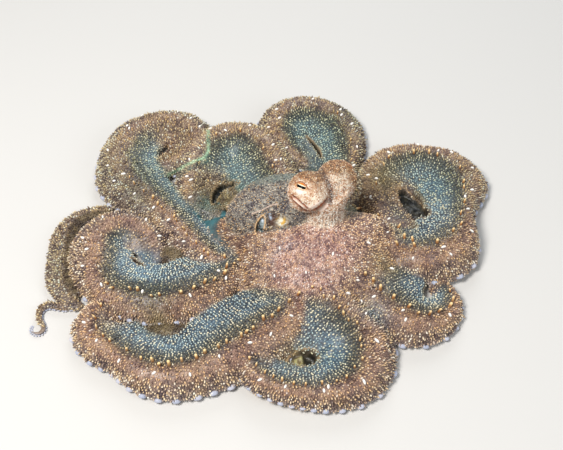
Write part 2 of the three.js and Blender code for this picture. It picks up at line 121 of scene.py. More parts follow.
# ---- arms: centre lines, one sample per mm ----------------------------------------
def centre_line(arm):
    n = int(round(arm["run"]))
    d = arm["run"] / n
    u = np.arange(n + 1) / n
    k = knots(arm["turn"], u) * RAD
    h = arm["head"] * RAD + np.concatenate([[0], np.cumsum(k[:-1]) * d])
    hm = h + k * d / 2
    x = arm["at"][0] + np.concatenate([[0], np.cumsum(np.cos(hm[:-1])) * d])
    y = arm["at"][1] + np.concatenate([[0], np.cumsum(np.sin(hm[:-1])) * d])
    w = knots(arm["half"], u)
    lift = knots(arm.get("lift", [0, 0]), u)
    inner, outer = knots(arm.get("inner", [0, 0]), u), knots(arm.get("outer", [0, 0]), u)
    s = np.arange(n + 1) * d
    if "base" in arm:
        b = arm["base"] * RAD
        p0 = CROWN + CROWN_RING * np.array([math.cos(b), math.sin(b)])
        p1 = np.array(arm["at"])
        h1 = arm["head"] * RAD
        m = float(np.hypot(*(p1 - p0)))
        steps = max(4, int(round(m)))
        t = np.arange(steps) / steps
        a, c, e, f = 2 * t**3 - 3 * t**2 + 1, t**3 - 2 * t**2 + t, -2 * t**3 + 3 * t**2, t**3 - t**2
        lx = a * p0[0] + c * m * math.cos(b) + e * p1[0] + f * m * math.cos(h1)
        ly = a * p0[1] + c * m * math.sin(b) + e * p1[1] + f * m * math.sin(h1)
        x, y = np.r_[lx, x], np.r_[ly, y]
        w = np.r_[10 + (arm["half"][0] - 10) * sm(0, 1, t), w]
        lift = np.r_[arm["lift"][0] * t, lift]
        inner, outer = np.r_[inner[0] * t, inner], np.r_[outer[0] * t, outer]
        hh = np.unwrap(np.arctan2(np.diff(y), np.diff(x)))
        turn = np.round((h[0] - hh[steps]) / (2 * math.pi)) * 2 * math.pi
        h = np.r_[hh[:steps] + turn, h]
        seg = np.hypot(np.diff(x), np.diff(y))
        k = np.r_[np.diff(h[: steps + 1]) / seg[:steps], k]
        s = np.r_[-np.cumsum(seg[:steps][::-1])[::-1], s]
    q = 3 if "base" in arm else 1
    return dict(x=x, y=y, h=h, k=blur(k, q), w=blur(w, q), lift=blur(lift, q), inner=blur(inner, q), outer=blur(outer, q), s=s, hand=arm["hand"], tall=arm.get("tall"), run=arm["run"])


LINES = {n: centre_line(a) for n, a in ARMS.items()}
END_LINES = {n: centre_line(a) for n, a in ENDS.items()}
NAMES = list(LINES) + list(END_LINES)


def arm_dims(c, i, inset):
    w, k, hand = c["w"][i], c["k"][i], c["hand"]
    tight = 0.93 / np.maximum(1e-9, np.abs(k))
    bend = k * hand
    wi = np.minimum(w + c["inner"][i], np.where(bend > 0, tight, 1e9))
    wo = np.minimum(w + c["outer"][i], np.where(bend < 0, tight, 1e9))
    crest = np.minimum(CREST_MAX, 3.2 + 0.56 * w) + c["lift"][i]
    lip = 0.42 * crest + 0.6 + 0.4 * c["lift"][i]
    rim = np.minimum(3, 0.3 * crest) + c["lift"][i]
    return wi, wo, crest - inset, lip - inset, rim - inset * 0.6


def arm_top(v, crest, lip, rim):
    v = np.asarray(v, float)
    a = lip + (crest - lip) * np.power(sm(-1.15, CREST_AT, v), 0.85)
    b = rim + (crest - rim) * np.power(np.maximum(0, 1 - np.power(np.maximum(0, v - CREST_AT) / (1 - CREST_AT), 2.1)), 0.9)
    return np.where(v < CREST_AT, a, b)


def arm_point(c, i, v, z):
    """Place of a point v across the arm at height z, at sample i of its line."""
    wi, wo = arm_dims(c, i, INSET)[:2]
    nx, ny = np.sin(c["h"][i]) * c["hand"], -np.cos(c["h"][i]) * c["hand"]
    o = np.where(v < 0, v * wi, v * wo)
    return np.stack([c["x"][i] + nx * o, c["y"][i] + ny * o, np.broadcast_to(z, np.shape(c["x"][i] + nx * o))], -1)


def grid_mesh(P, wrap=True, caps=True):
    """Closed skin through a grid of points (rings, around, 3)."""
    r, n = P.shape[:2]
    idx = np.arange(r * n).reshape(r, n)
    a, b = idx[:-1], np.roll(idx, -1, 1)[:-1]
    c, d = idx[1:], np.roll(idx, -1, 1)[1:]
    quads = np.stack([a, b, d, c], -1).reshape(-1, 4)
    verts = P.reshape(-1, 3)
    tris = np.zeros((0, 3), int)
    if caps:
        m0, m1 = len(verts), len(verts) + 1
        verts = np.vstack([verts, P[0].mean(0), P[-1].mean(0)])
        j = np.arange(n)
        k = (j + 1) % n
        tris = np.vstack([np.stack([np.full(n, m0), idx[0][k], idx[0][j]], -1), np.stack([np.full(n, m1), idx[-1][j], idx[-1][k]], -1)])
    return verts, quads, tris


def oriented(part):
    """Turns every face outwards, judged by the part's volume."""
    v, q, t = part
    f = np.vstack([q[:, [0, 1, 2]], q[:, [0, 2, 3]], t])
    vol = np.einsum("ij,ij->i", v[f[:, 0]], np.cross(v[f[:, 1]], v[f[:, 2]])).sum()
    return (v, q, t) if vol > 0 else (v, q[:, ::-1], t[:, ::-1])


V_TOP = np.r_[np.linspace(-0.95, CREST_AT, 22), np.linspace(CREST_AT, 0.93, 14)[1:]]
parts, samples = [], []     # samples: place, region, s, v
REGION = {n: i + 1 for i, n in enumerate(NAMES)}   # 0 web, 1.. arms and ends
R_MANTLE, R_HEAD, R_SIPHON, R_SHADE_WEB, R_FILL = 20, 21, 22, 23, 24

for name, c in LINES.items():
    keep = np.hypot(c["x"] - CROWN[0], c["y"] - CROWN[1]) >= 16
    i0 = int(np.argmax(keep))
    ids = np.arange(i0, len(c["x"]))
    wi, wo, crest, lip, rim = arm_dims(c, ids, INSET)
    # suckers push the rim out into low scallops
    wo = wo - 0.95 + 0.75 * np.abs(np.sin(math.pi * c["s"][ids] / SUCKER_GAP)) * sm(-5, 10, c["s"][ids])
    wi = wi - 0.3
    prof_v, prof_z = [], []
    low_v = [0.94, 0.7, 0.3, -0.1, -0.5, -0.8]
    for v in low_v[::-1]:
        prof_v.append(np.full(len(ids), v)); prof_z.append(np.full(len(ids), SOLE))
    for v, f in ((-0.93, 0.22), (-0.985, 0.42), (-1.0, 0.62), (-0.985, 0.82)):
        prof_v.append(np.full(len(ids), v)); prof_z.append(SOLE * (1 - f) + lip * f)
    for v in V_TOP:
        prof_v.append(np.full(len(ids), v)); prof_z.append(arm_top(v, crest, lip, rim))
    for v, f in ((0.975, 0.86), (1.0, 0.62), (0.99, 0.35)):
        prof_v.append(np.full(len(ids), v)); prof_z.append(SOLE * (1 - f) + np.maximum(rim, SOLE + 0.8) * f)
    PV, PZ = np.array(prof_v).T, np.array(prof_z).T
    PZ = np.maximum(PZ, SOLE)
    nx, ny = np.sin(c["h"][ids]) * c["hand"], -np.cos(c["h"][ids]) * c["hand"]
    off = np.where(PV < 0, PV * wi[:, None], PV * wo[:, None])
    P = np.stack([c["x"][ids][:, None] + nx[:, None] * off, c["y"][ids][:, None] + ny[:, None] * off, PZ], -1)
    # round the far end off
    n_round = 5
    mid = np.array([c["x"][-1], c["y"][-1], 0.45 * crest[-1]])
    d = np.array([math.cos(c["h"][-1]), math.sin(c["h"][-1]), 0])
    extra = [mid + (P[-1] - mid) * math.cos(a) + d * math.sin(a) * 0.55 * c["w"][-1] for a in np.linspace(0.3, 1.35, n_round)]
    parts.append(oriented(grid_mesh(np.concatenate([P, np.array(extra)]))))
    S = np.broadcast_to(c["s"][ids][:, None], PV.shape)
    samples.append((P.reshape(-1, 3), np.full(P.shape[0] * P.shape[1], REGION[name]), S.ravel(), PV.ravel()))

for name, c in END_LINES.items():
    ids = np.arange(len(c["x"]))
    w = c["w"] - 0.15
    z = c["w"] * c["tall"] - 0.7
    ang = np.linspace(-0.35, math.pi + 0.35, 18)
    nx, ny = np.sin(c["h"]), -np.cos(c["h"])
    vv = np.cos(ang)[None] * np.ones(len(ids))[:, None]
    zz = 0.36 * z[:, None] + 0.64 * z[:, None] * np.sin(ang)[None]
    zz = np.maximum(zz, 0.9)
    P = np.stack([c["x"][:, None] + nx[:, None] * vv * w[:, None], c["y"][:, None] + ny[:, None] * vv * w[:, None], zz], -1)
    mid = P[-1].mean(0)
    d = np.array([math.cos(c["h"][-1]), math.sin(c["h"][-1]), 0])
    extra = [mid + (P[-1] - mid) * math.cos(a) + d * math.sin(a) * 0.9 * w[-1] for a in np.linspace(0.3, 1.35, 5)]
    parts.append(oriented(grid_mesh(np.concatenate([P, np.array(extra)]))))
    S = np.broadcast_to(c["s"][:, None], vv.shape)
    side = vv * c["hand"]
    samples.append((P.reshape(-1, 3), np.full(P.shape[0] * P.shape[1], REGION[name]), S.ravel(), side.ravel()))


# ---- crown, mantle, head, siphon -----------------------------------------------------
def reach(t):
    d = ((np.degrees(t) - 166 + 540) % 360) - 180
    e = ((np.degrees(t) - 62 + 540) % 360) - 180
    return CROWN_SPAN + 20 * np.exp(-((d / 15) ** 2)) - 16 * np.exp(-((e / 42) ** 2))


t = np.arange(120) / 120 * 2 * math.pi
rings = []
for f in (0.02, 0.5, 0.9, 1.0):
    rings.append(np.stack([CROWN[0] + (reach(t) * f - 1.5 * (f == 1)) * np.cos(t), CROWN[1] + (reach(t) * f - 1.5 * (f == 1)) * np.sin(t), np.full(120, SOLE)], -1))
for f in np.r_[1.0, np.linspace(0.985, 0.02, 40)]:
    wx, wy = CROWN[0] + reach(t) * f * np.cos(t), CROWN[1] + reach(t) * f * np.sin(t)
    z = WEB_EDGE + (CROWN_TOP - WEB_EDGE) * (1 - f * f) ** 1.25
    for a, b, tall, wide in WEB_FOLDS:
        z = z + tall * (1 - f**4) * np.exp(-((wx - a) ** 2 + (wy - b) ** 2) / wide**2)
    rings.append(np.stack([wx, wy, np.minimum(z, CROWN_TOP + 1) - INSET], -1))
P = np.array(rings)
parts.append(oriented(grid_mesh(P)))
samples.append((P[4:].reshape(-1, 3), np.zeros(120 * (len(P) - 4), int), np.zeros(120 * (len(P) - 4)), np.zeros(120 * (len(P) - 4))))


def egg(frm, to, wide, tall, floor, inset, rows=70, around=90):
    d = to - frm
    ax = d / np.linalg.norm(d)
    side = unit(np.array([-ax[1], ax[0], 0]))
    up = np.cross(ax, side) * -1
    up = up * np.sign(up[2])
    u = 0.5 - 0.5 * np.cos(math.pi * (0.015 + 0.97 * np.arange(rows) / (rows - 1)))
    r = np.power(np.sin(math.pi * np.power(u, 0.86)), 0.62)
    q = np.arange(around) / around * 2 * math.pi
    P = frm + d * u[:, None, None] + side * (np.cos(q)[None, :, None] * (wide - inset) * r[:, None, None]) + up * (np.sin(q)[None, :, None] * (tall - inset) * r[:, None, None])
    P[..., 2] = np.maximum(P[..., 2], floor + inset)
    return P, u, q


P, eu, eq = egg(MANTLE["tip"], MANTLE["neck"], MANTLE["half"][0], MANTLE["half"][1], MANTLE["floor"], INSET)
parts.append(oriented(grid_mesh(P)))
samples.append((P.reshape(-1, 3), np.full(P.shape[0] * P.shape[1], R_MANTLE), np.repeat(eu, len(eq)), np.tile(eq, len(eu))))

ACROSS = np.array([math.cos((HEAD_FACE + 90) * RAD), math.sin((HEAD_FACE + 90) * RAD), 0])
FACE = np.array([math.cos(HEAD_FACE * RAD), math.sin(HEAD_FACE * RAD), 0])


def bulge_at(side):
    p = HEAD_AT + ACROSS * side * BULGE["apart"] / 2
    sx, sy = BULGE["shift"] if side < 0 else (0, 0)
    return np.array([p[0] + sx, p[1] + sy, BULGE["z"] - side * BULGE["lean"]])


def ball(at, radii, inset, turn=0, rows=40, around=56):
    u = np.linspace(0.03, math.pi - 0.03, rows)
    q = np.arange(around) / around * 2 * math.pi
    x = np.sin(u)[:, None] * np.cos(q)[None] * (radii[0] - inset)
    y = np.sin(u)[:, None] * np.sin(q)[None] * (radii[1] - inset)
    z = np.cos(u)[:, None] * np.ones(around)[None] * (radii[2] - inset)
    c, s = math.cos(turn * RAD), math.sin(turn * RAD)
    return np.stack([at[0] + x * c - y * s, at[1] + x * s + y * c, at[2] + z], -1)


rows = []
for i in range(25):
    u = i / 24
    p = NECK_FOOT + (HEAD_AT - NECK_FOOT) * u
    pinch = 1 - 0.2 * math.sin(math.pi * min(1, u * 1.15)) + 0.2 * max(0.0, 1 - u / 0.3) ** 2
    q = np.arange(72) / 72 * 2 * math.pi
    a, b = (NECK_HALF[0] * pinch - INSET) * np.sin(q), (NECK_HALF[1] * pinch - INSET) * np.cos(q)
    rows.append(p + ACROSS * a[:, None] + FACE * b[:, None])
neck = np.array(rows)
parts.append(oriented(grid_mesh(neck)))
headball = ball(HEAD_AT - np.array([0, 0, 2.5]), np.array(HEAD_HALF) * (0.92, 0.9, 0.86), INSET, HEAD_FACE)
parts.append(oriented(grid_mesh(headball)))
bulges = {s: ball(bulge_at(s), (BULGE["radius"],) * 3, INSET, 0, 60, 80) for s in (-1, 1)}
for b in bulges.values():
    parts.append(oriented(grid_mesh(b)))
for P in (neck, headball, bulges[-1], bulges[1]):
    samples.append((P.reshape(-1, 3), np.full(P.shape[0] * P.shape[1], R_HEAD), np.zeros(P.shape[0] * P.shape[1]), np.zeros(P.shape[0] * P.shape[1])))


def lathe_on(a, b, profile, around=40):
    """Profile of (share along a..b, radius) turned about the line a to b."""
    d = b - a
    ax = unit(d)
    side = unit(np.cross(ax, [0, 0, 1.0]))
    up = np.cross(side, ax)
    q = np.arange(around) / around * 2 * math.pi
    return np.array([a + d * u + r * (np.cos(q)[:, None] * side + np.sin(q)[:, None] * up) for u, r in profile])


sr = SIPHON["radius"] - 0.4
siphon = lathe_on(SIPHON["a"], SIPHON["b"], [(0, 0.1), (0, sr), (0.4, sr), (0.7, sr * 0.98), (0.86, sr * 0.9), (0.97, sr * 0.66), (1.03, sr * 0.3), (1.04, 0.1)])
parts.append(oriented(grid_mesh(siphon)))
samples.append((siphon.reshape(-1, 3), np.full(siphon.shape[0] * siphon.shape[1], R_SIPHON), np.repeat(np.linspace(0, 1, siphon.shape[0]), siphon.shape[1]), np.zeros(siphon.shape[0] * siphon.shape[1])))


# low webs that close the narrow gaps between neighbouring arms, dark sheets that stand in for the shadow in those gaps,
# the third one a fill in arm colours: middle, half sizes, bearing
STRAPS = [((-53.5, -70.0, 3.4), (11.5, 3.6, 2.6), 2), ((-53.8, -24.6, 3.6), (7.5, 5.5, 2.8), -20), ((15.6, 50.0, 4.0), (15.0, 6.4, 3.8), -70), ((-26.0, 20.0, 2.6), (8.5, 10.0, 1.6), 0),
          ((9.0, -87.0, 1.9), (9.0, 6.5, 1.3), 4)]
STRAPS.append(((70.5, 8.0, 2.3), (15.0, 9.0, 1.5), -61))      # a dark web across the bottom of the left second arm's coil, standing in for the shadow in its opening
for i in range(2, len(END_LINES["r4b"]["x"]) - 4, 3):      # dark webs for the shadow between the thin loose arm and the coil beside it
    c = END_LINES["r4b"]
    side = np.array([math.sin(c["h"][i]), -math.cos(c["h"][i])])
    here = np.array([c["x"][i], c["y"][i]])
    side = side * np.sign((np.array([-68.0, -30.0]) - here) @ side)
    STRAPS.append(((*(here + side * (c["w"][i] + 0.6)), 2.6), (2.6, 2.4, 1.7), math.degrees(c["h"][i])))
for which, (at, radii, bearing) in enumerate(STRAPS):
    P = ball(np.array(at), radii, 0, bearing, 20, 36)
    P[..., 2] = np.maximum(P[..., 2], SOLE)
    parts.append(oriented(grid_mesh(P)))
    samples.append((P.reshape(-1, 3), np.full(P.shape[0] * P.shape[1], R_FILL if which == 2 else R_SHADE_WEB), np.zeros(P.shape[0] * P.shape[1]), np.zeros(P.shape[0] * P.shape[1])))


# ---- one skin over all of it -----------------------------------------------------------
def to_mesh(name, verts, faces_list, metres=True):
    """Mesh from vertices in mm of the layout and lists of faces."""
    v = (np.asarray(verts, float) - ORIGIN) * 0.001 if metres else np.asarray(verts, float)
    me = bpy.data.meshes.new(name)
    counts = np.concatenate([np.full(len(f), f.shape[1]) for f in faces_list if len(f)])
    loops = np.concatenate([np.asarray(f).ravel() for f in faces_list if len(f)]).astype(np.int32)
    me.vertices.add(len(v))
    me.vertices.foreach_set("co", v.astype(np.float32).ravel())
    me.loops.add(len(loops))
    me.loops.foreach_set("vertex_index", loops)
    me.polygons.add(len(counts))
    starts = np.concatenate([[0], np.cumsum(counts)[:-1]]).astype(np.int32)
    me.polygons.foreach_set("loop_start", starts)
    me.polygons.foreach_set("use_smooth", np.ones(len(counts), bool))
    me.update(calc_edges=True)
    me.validate()
    ob = bpy.data.objects.new(name, me)
    bpy.context.scene.collection.objects.link(ob)
    return ob


def merged(parts):
    V, Q, T, n = [], [], [], 0
    for v, q, t in parts:
        V.append(v); Q.append(q + n); T.append(t + n); n += len(v)
    return np.vstack(V), np.vstack(Q), np.vstack(T)


def co_of(me):
    a = np.zeros(len(me.vertices) * 3, np.float32)
    me.vertices.foreach_get("co", a)
    return a.reshape(-1, 3).astype(float)


def edges_of(me):
    e = np.zeros(len(me.edges) * 2, np.int32)
    me.edges.foreach_get("vertices", e)
    return e.reshape(-1, 2)


def spread(values, e, n, weight=None, steps=1, rate=0.5):
    """Smooths values over the mesh edges."""
    x = np.asarray(values, float)
    deg = np.maximum(1, np.bincount(e.ravel(), minlength=n))
    for _ in range(steps):
        acc = np.stack([np.bincount(e[:, 0], x[e[:, 1], k], n) + np.bincount(e[:, 1], x[e[:, 0], k], n) for k in range(x.shape[1])], -1)
        step = (acc / deg[:, None] - x) * rate
        x = x + (step if weight is None else step * weight[:, None])
    return x


VOXEL = 0.00072
raw = to_mesh("raw", *[merged(parts)[0]], [merged(parts)[1], merged(parts)[2]])
mod = raw.modifiers.new("r", "REMESH")
mod.mode, mod.voxel_size, mod.use_smooth_shade = "VOXEL", VOXEL, True
dg = bpy.context.evaluated_depsgraph_get()
me = bpy.data.meshes.new_from_object(raw.evaluated_get(dg))
bpy.data.objects.remove(raw)
skin = bpy.data.objects.new("skin", me)
bpy.context.scene.collection.objects.link(skin)
# keep the outer shell only
bm = bmesh.new()
bm.from_mesh(me)
bm.verts.ensure_lookup_table()
seen = np.zeros(len(bm.verts), np.int32)
mark = 0
for v in bm.verts:
    if seen[v.index]:
        continue
    mark += 1
    stack = [v]
    seen[v.index] = mark
    while stack:
        a = stack.pop()
        for ed in a.link_edges:
            o = ed.other_vert(a)
            if not seen[o.index]:
                seen[o.index] = mark
                stack.append(o)
sizes = np.bincount(seen)
best = int(sizes.argmax())
if mark > 1:
    bmesh.ops.delete(bm, geom=[v for v in bm.verts if seen[v.index] != best], context="VERTS")
print("skin shells", mark, sizes[:8], len(bm.verts))

# finer mesh on the head and on the mantle
EYES = {}
for side, key in ((-1, "right"), (1, "left")):
    n = unit(np.array(EYE[key]))
    EYES[side] = dict(n=n, bulge=bulge_at(side), at=bulge_at(side) + n * (BULGE["radius"] - EYE["radius"] * 0.72))


def near_faces(bm, test):
    out = []
    for f in bm.faces:
        c = f.calc_center_median()
        if test(c.x * 1000 + ORIGIN[0], c.y * 1000 + ORIGIN[1], c.z * 1000):
            out.append(f)
    return out


def split(bm, test):
    fs = near_faces(bm, test)
    es = list({e for f in fs for e in f.edges})
    bmesh.ops.subdivide_edges(bm, edges=es, cuts=1, use_grid_fill=True)


ec = EYES[-1]["at"]
el = EYES[1]["at"]
split(bm, lambda x, y, z: z > 16 and (x - 14) ** 2 / 48**2 + (y + 8) ** 2 / 24**2 < 1)
split(bm, lambda x, y, z: (x - ec[0]) ** 2 + (y - ec[1]) ** 2 + (z - ec[2]) ** 2 < 36 or (x - el[0]) ** 2 + (y - el[1]) ** 2 + (z - el[2]) ** 2 < 30)
bmesh.ops.triangulate(bm, faces=[f for f in bm.faces if len(f.verts) > 4])
bm.to_mesh(me)
bm.free()

X = co_of(me) * 1000 + ORIGIN
E2 = edges_of(me)
NV = len(X)
print("skin vertices", NV)

# ---- which part of the animal each skin vertex belongs to -----------------------------------
SP = np.vstack([s[0] for s in samples])
SR = np.concatenate([s[1] for s in samples])
SS = np.concatenate([s[2] for s in samples])
SV = np.concatenate([s[3] for s in samples])
kd = KDTree(len(SP))
for i, p in enumerate(SP):
    kd.insert(p, i)
kd.balance()
near = np.fromiter((kd.find(p)[1] for p in X), np.int64, NV)
reg, ss, vv = SR[near], SS[near].copy(), SV[near].copy()

rc = np.hypot(X[:, 0] - CROWN[0], X[:, 1] - CROWN[1])
is_arm = (reg >= 1) & (reg <= 8)
is_end = (reg >= 9) & (reg <= 13)
is_head = reg == R_HEAD
is_mantle = (reg == R_MANTLE) | (reg == R_SIPHON)
is_web = reg == 0

# the mound: arms and web melt into one smooth cone round the neck
def relax(X, weight, steps):
    """Smooths without shrinking: each inward step is followed by one outward."""
    for _ in range(steps):
        X = spread(X, E2, NV, weight, 1, 0.5)
        X = spread(X, E2, NV, weight, 1, -0.52)
    return X


soft = sm(47, 30, rc) * (~is_head) * (~is_mantle) * (reg != R_SIPHON) * (X[:, 2] > 3)
soft = spread(soft[:, None] * 1.0, E2, NV, steps=8)[:, 0]
joint = bell(X[:, 2], 19, 6) * (rc < 26) * (np.hypot(X[:, 0] - NECK_FOOT[0], X[:, 1] - NECK_FOOT[1]) < 24)
X = relax(X, np.ones(NV), 5)
# where the neck, the mantle and the funnel run into one another
meet = spread(np.stack([is_head, is_mantle, reg == R_SIPHON, reg == R_MANTLE, is_web], -1) * 1.0, E2, NV, steps=14)
meet = np.clip(5 * meet[:, 0] * np.maximum(meet[:, 1], meet[:, 4]) * (X[:, 2] < 33) + 4 * meet[:, 2] * meet[:, 3], 0, 1)
melt = np.clip(soft + 0.8 * joint + meet, 0, 1)
X = spread(X, E2, NV, melt * (melt > 0.05), steps=60)

# the small openings in the middle of the coils, sunk to a low floor that is painted near black as shade: line along the
# opening, half width, floor
SLITS = [([(-74.2, -27.4), (-67.6, -33.6)], 1.15, 3.0), ([(-60.6, 42.6), (-58.3, 46.4)], 0.9, 6.5), ([(14.2, 60.6), (17.3, 55.2), (20.0, 49.6), (21.6, 44.5)], 1.15, 3.2),
         ([(-35.9, 10.4), (-35.2, 15.6), (-34.1, 19.3), (-32.1, 22.2), (-29.5, 24.4), (-26.4, 25.3), (-23.2, 24.6)], 1.9, 1.6),
         ([(-28.0, 8.0), (-25.6, 11.2), (-24.4, 14.6)], 1.3, 2.2)]
OVAL_AT, OVAL_HALF, OVAL_BEARING, OVAL_LOW = (68.5, 8.3), (12.3, 5.4), -61, 2.5
HOLE = dict(at=(9.6, -86.8), half=(6.9, 4.2), bearing=4, low=2.2)
PIT = np.zeros(NV)
PITRIM = np.zeros(NV)


def flat_line(P, pts, n=40):
    """Distance in the plan view to a line of points, and the share along it."""
    pts = np.asarray(pts, float)
    run = np.r_[0, np.cumsum(np.hypot(*np.diff(pts, axis=0).T))]
    u = np.linspace(0, run[-1], n)
    q = np.stack([np.interp(u, run, pts[:, 0]), np.interp(u, run, pts[:, 1])], -1)
    d, t = np.full(len(P), 1e9), np.zeros(len(P))
    for i, c in enumerate(q):
        e = np.hypot(P[:, 0] - c[0], P[:, 1] - c[1])
        b = e < d
        d[b], t[b] = e[b], i / (n - 1)
    return d, t


for pts, wide, low in SLITS:
    d, t = np.full(NV, 1e9), np.zeros(NV)
    m = np.hypot(X[:, 0] - pts[0][0], X[:, 1] - pts[0][1]) < 30
    d[m], t[m] = flat_line(X[m], pts)
    leaf = wide * (1 - 0.75 * np.abs(2 * t - 1) ** 2.2)
    q = d / leaf
    deep = (1 - sm(0.75, 1.12, q)) * (X[:, 2] > 2)
    X[:, 2] -= np.maximum(0, X[:, 2] - low) * deep
    PIT = np.maximum(PIT, (1 - sm(0.9, 1.2, q)) * (X[:, 2] > 0))
    PITRIM = np.maximum(PITRIM, bell(d - leaf, 0.45, 0.5) * (X[:, 2] > 2))
# the hole with a rolled-up arm tip in it, sunk to a low floor that is painted near black as shade
ca, sa = math.cos(HOLE["bearing"] * RAD), math.sin(HOLE["bearing"] * RAD)
dx, dy = X[:, 0] - HOLE["at"][0], X[:, 1] - HOLE["at"][1]
hx, hy = dx * ca + dy * sa, dy * ca - dx * sa
q = np.hypot(hx / HOLE["half"][0], hy / HOLE["half"][1])
deep = (1 - sm(0.72, 1.0, q)) * (X[:, 2] > 2)
# the tip of the arm lies rolled up in the left half of it
curl = (1 - sm(-0.4, 1.2, hx)) * (1 - sm(0.55, 0.95, q))
X[:, 2] -= np.maximum(0, X[:, 2] - HOLE["low"] - 2.2 * curl) * deep
COIL = curl * (q < 0.95) * 1.0
PIT = np.maximum(PIT, (1 - sm(0.8, 1.02, q)) * (X[:, 2] > 0))
PITRIM = np.maximum(PITRIM, bell(q, 1.06, 0.08) * (X[:, 2] > 2))
# the wide opening in the middle of the left second arm's coil, sunk to a low floor that is painted near black as shade
ca, sa = math.cos(OVAL_BEARING * RAD), math.sin(OVAL_BEARING * RAD)
dx, dy = X[:, 0] - OVAL_AT[0], X[:, 1] - OVAL_AT[1]
q = np.hypot((dx * ca + dy * sa) / OVAL_HALF[0], (dy * ca - dx * sa) / OVAL_HALF[1]) + 0.05 * np.sin(dx * 1.3) * np.cos(dy * 0.9)
X[:, 2] -= np.maximum(0, X[:, 2] - OVAL_LOW) * (1 - sm(0.8, 1.0, q))
PIT = np.maximum(PIT, 1 - sm(0.88, 1.03, q))
PITRIM = np.maximum(PITRIM, 0.6 * bell(q, 1.08, 0.08) * (X[:, 2] > 2))

# ---- folds, wrinkles and lids of the skin ----------------------------------------------------
faces = []
for p in me.polygons:
    faces.append(tuple(p.vertices))
TRI = np.array([(f[0], f[i], f[i + 1]) for f in faces for i in range(1, len(f) - 1)], np.int64)


def normals(X):
    n = np.cross(X[TRI[:, 1]] - X[TRI[:, 0]], X[TRI[:, 2]] - X[TRI[:, 0]])
    out = np.stack([sum(np.bincount(TRI[:, k], n[:, c], NV) for k in range(3)) for c in range(3)], -1)
    return unit(out)


def noise(p, cell, seed=0):
    """Smooth value noise, -1 to 1, with one random value per cell corner."""
    q = np.asarray(p, float) / cell + 100.0 + 17.3 * seed
    i = np.floor(q).astype(np.int64)
    f = q - i
    f = f * f * (3 - 2 * f)
    out = 0
    for dx in (0, 1):
        for dy in (0, 1):
            for dz in (0, 1):
                h = ((i[:, 0] + dx) * 73856093) ^ ((i[:, 1] + dy) * 19349663) ^ ((i[:, 2] + dz) * 83492791) ^ (seed * 2654435761 & 0xFFFFFFFF)
                h = (h ^ (h >> 13)) * 1274126177 & 0xFFFFFFFF
                h = (h ^ (h >> 16)) & 0xFFFF
                w = (f[:, 0] if dx else 1 - f[:, 0]) * (f[:, 1] if dy else 1 - f[:, 1]) * (f[:, 2] if dz else 1 - f[:, 2])
                out = out + w * (h / 32767.5 - 1)
    return out


def refine(X, reg, ss):
    """Distance along and across its own arm for each point."""
    s, v, wide = ss.copy(), np.zeros(len(X)), np.zeros(len(X))
    for name in NAMES:
        m = reg == REGION[name]
        if not m.any():
            continue
        c = LINES.get(name) or END_LINES[name]
        i = np.clip(np.searchsorted(c["s"], ss[m]), 0, len(c["s"]) - 1)
        d = X[m, :2] - np.stack([c["x"][i], c["y"][i]], -1)
        along = d[:, 0] * np.cos(c["h"][i]) + d[:, 1] * np.sin(c["h"][i])
        out = (d[:, 0] * np.sin(c["h"][i]) - d[:, 1] * np.cos(c["h"][i])) * c["hand"]
        if name in LINES:
            wi, wo = arm_dims(c, i, INSET)[:2]
        else:
            wi = wo = c["w"][i]
        s[m] = ss[m] + np.clip(along, -2, 2)
        v[m] = np.where(out < 0, out / wi, out / wo)
        wide[m] = np.where(out < 0, wi, wo)
    return s, np.clip(v, -1.15, 1.15), wide


S, V, WIDE = refine(X, reg, ss)
N = normals(X)
# small features of the face are placed in the plan of a picture taken from the front, 48 degrees up
UPV, TOV = np.array([0, 0.743, 0.669]), np.array([0, -0.669, 0.743])


def front(P):
    d = P - TOV * 488.0
    k = 938.33 / -(d @ TOV)
    return np.stack([281.5 + d[:, 0] * k, 225.0 - (d @ UPV) * k], -1)


def drawn(F, pts, wide, n=60):
    """Weight of a line of points drawn in the front picture."""
    p = np.asarray(pts, float)
    m = ((F > p.min(0) - 3.5 * wide) & (F < p.max(0) + 3.5 * wide)).all(1)
    out = np.zeros(len(F))
    out[m] = np.exp(-((flat_line(F[m], p, n)[0] / wide) ** 2))
    return out


def dab(F, at, wide, tall=None):
    return np.exp(-(((F[:, 0] - at[0]) / wide) ** 2) - ((F[:, 1] - at[1]) / (tall or wide)) ** 2)


rc = np.hypot(X[:, 0] - CROWN[0], X[:, 1] - CROWN[1])


def blob(X, at, wide, tall=None):
    d = (X - np.array(at)) / (wide if tall is None else np.array([wide, wide, tall]))
    return np.exp(-(d * d).sum(1))


# head folds --------------------------------------------------------------------------
TOWARD = unit(np.array([0.0, -0.669, 0.743]))   # where the folds under the right eye curve about


def eye_frame(side):
    e = EYES[side]
    n = e["n"]
    slope = np.array([0.914, -0.302, -0.272]) if side < 0 else np.array([-0.60, 0.78, -0.20])
    e1 = unit(slope - n * (slope @ n))
    e2 = np.cross(n, e1)
    if e2[2] < 0:
        e2 = -e2
    return n, e1, e2


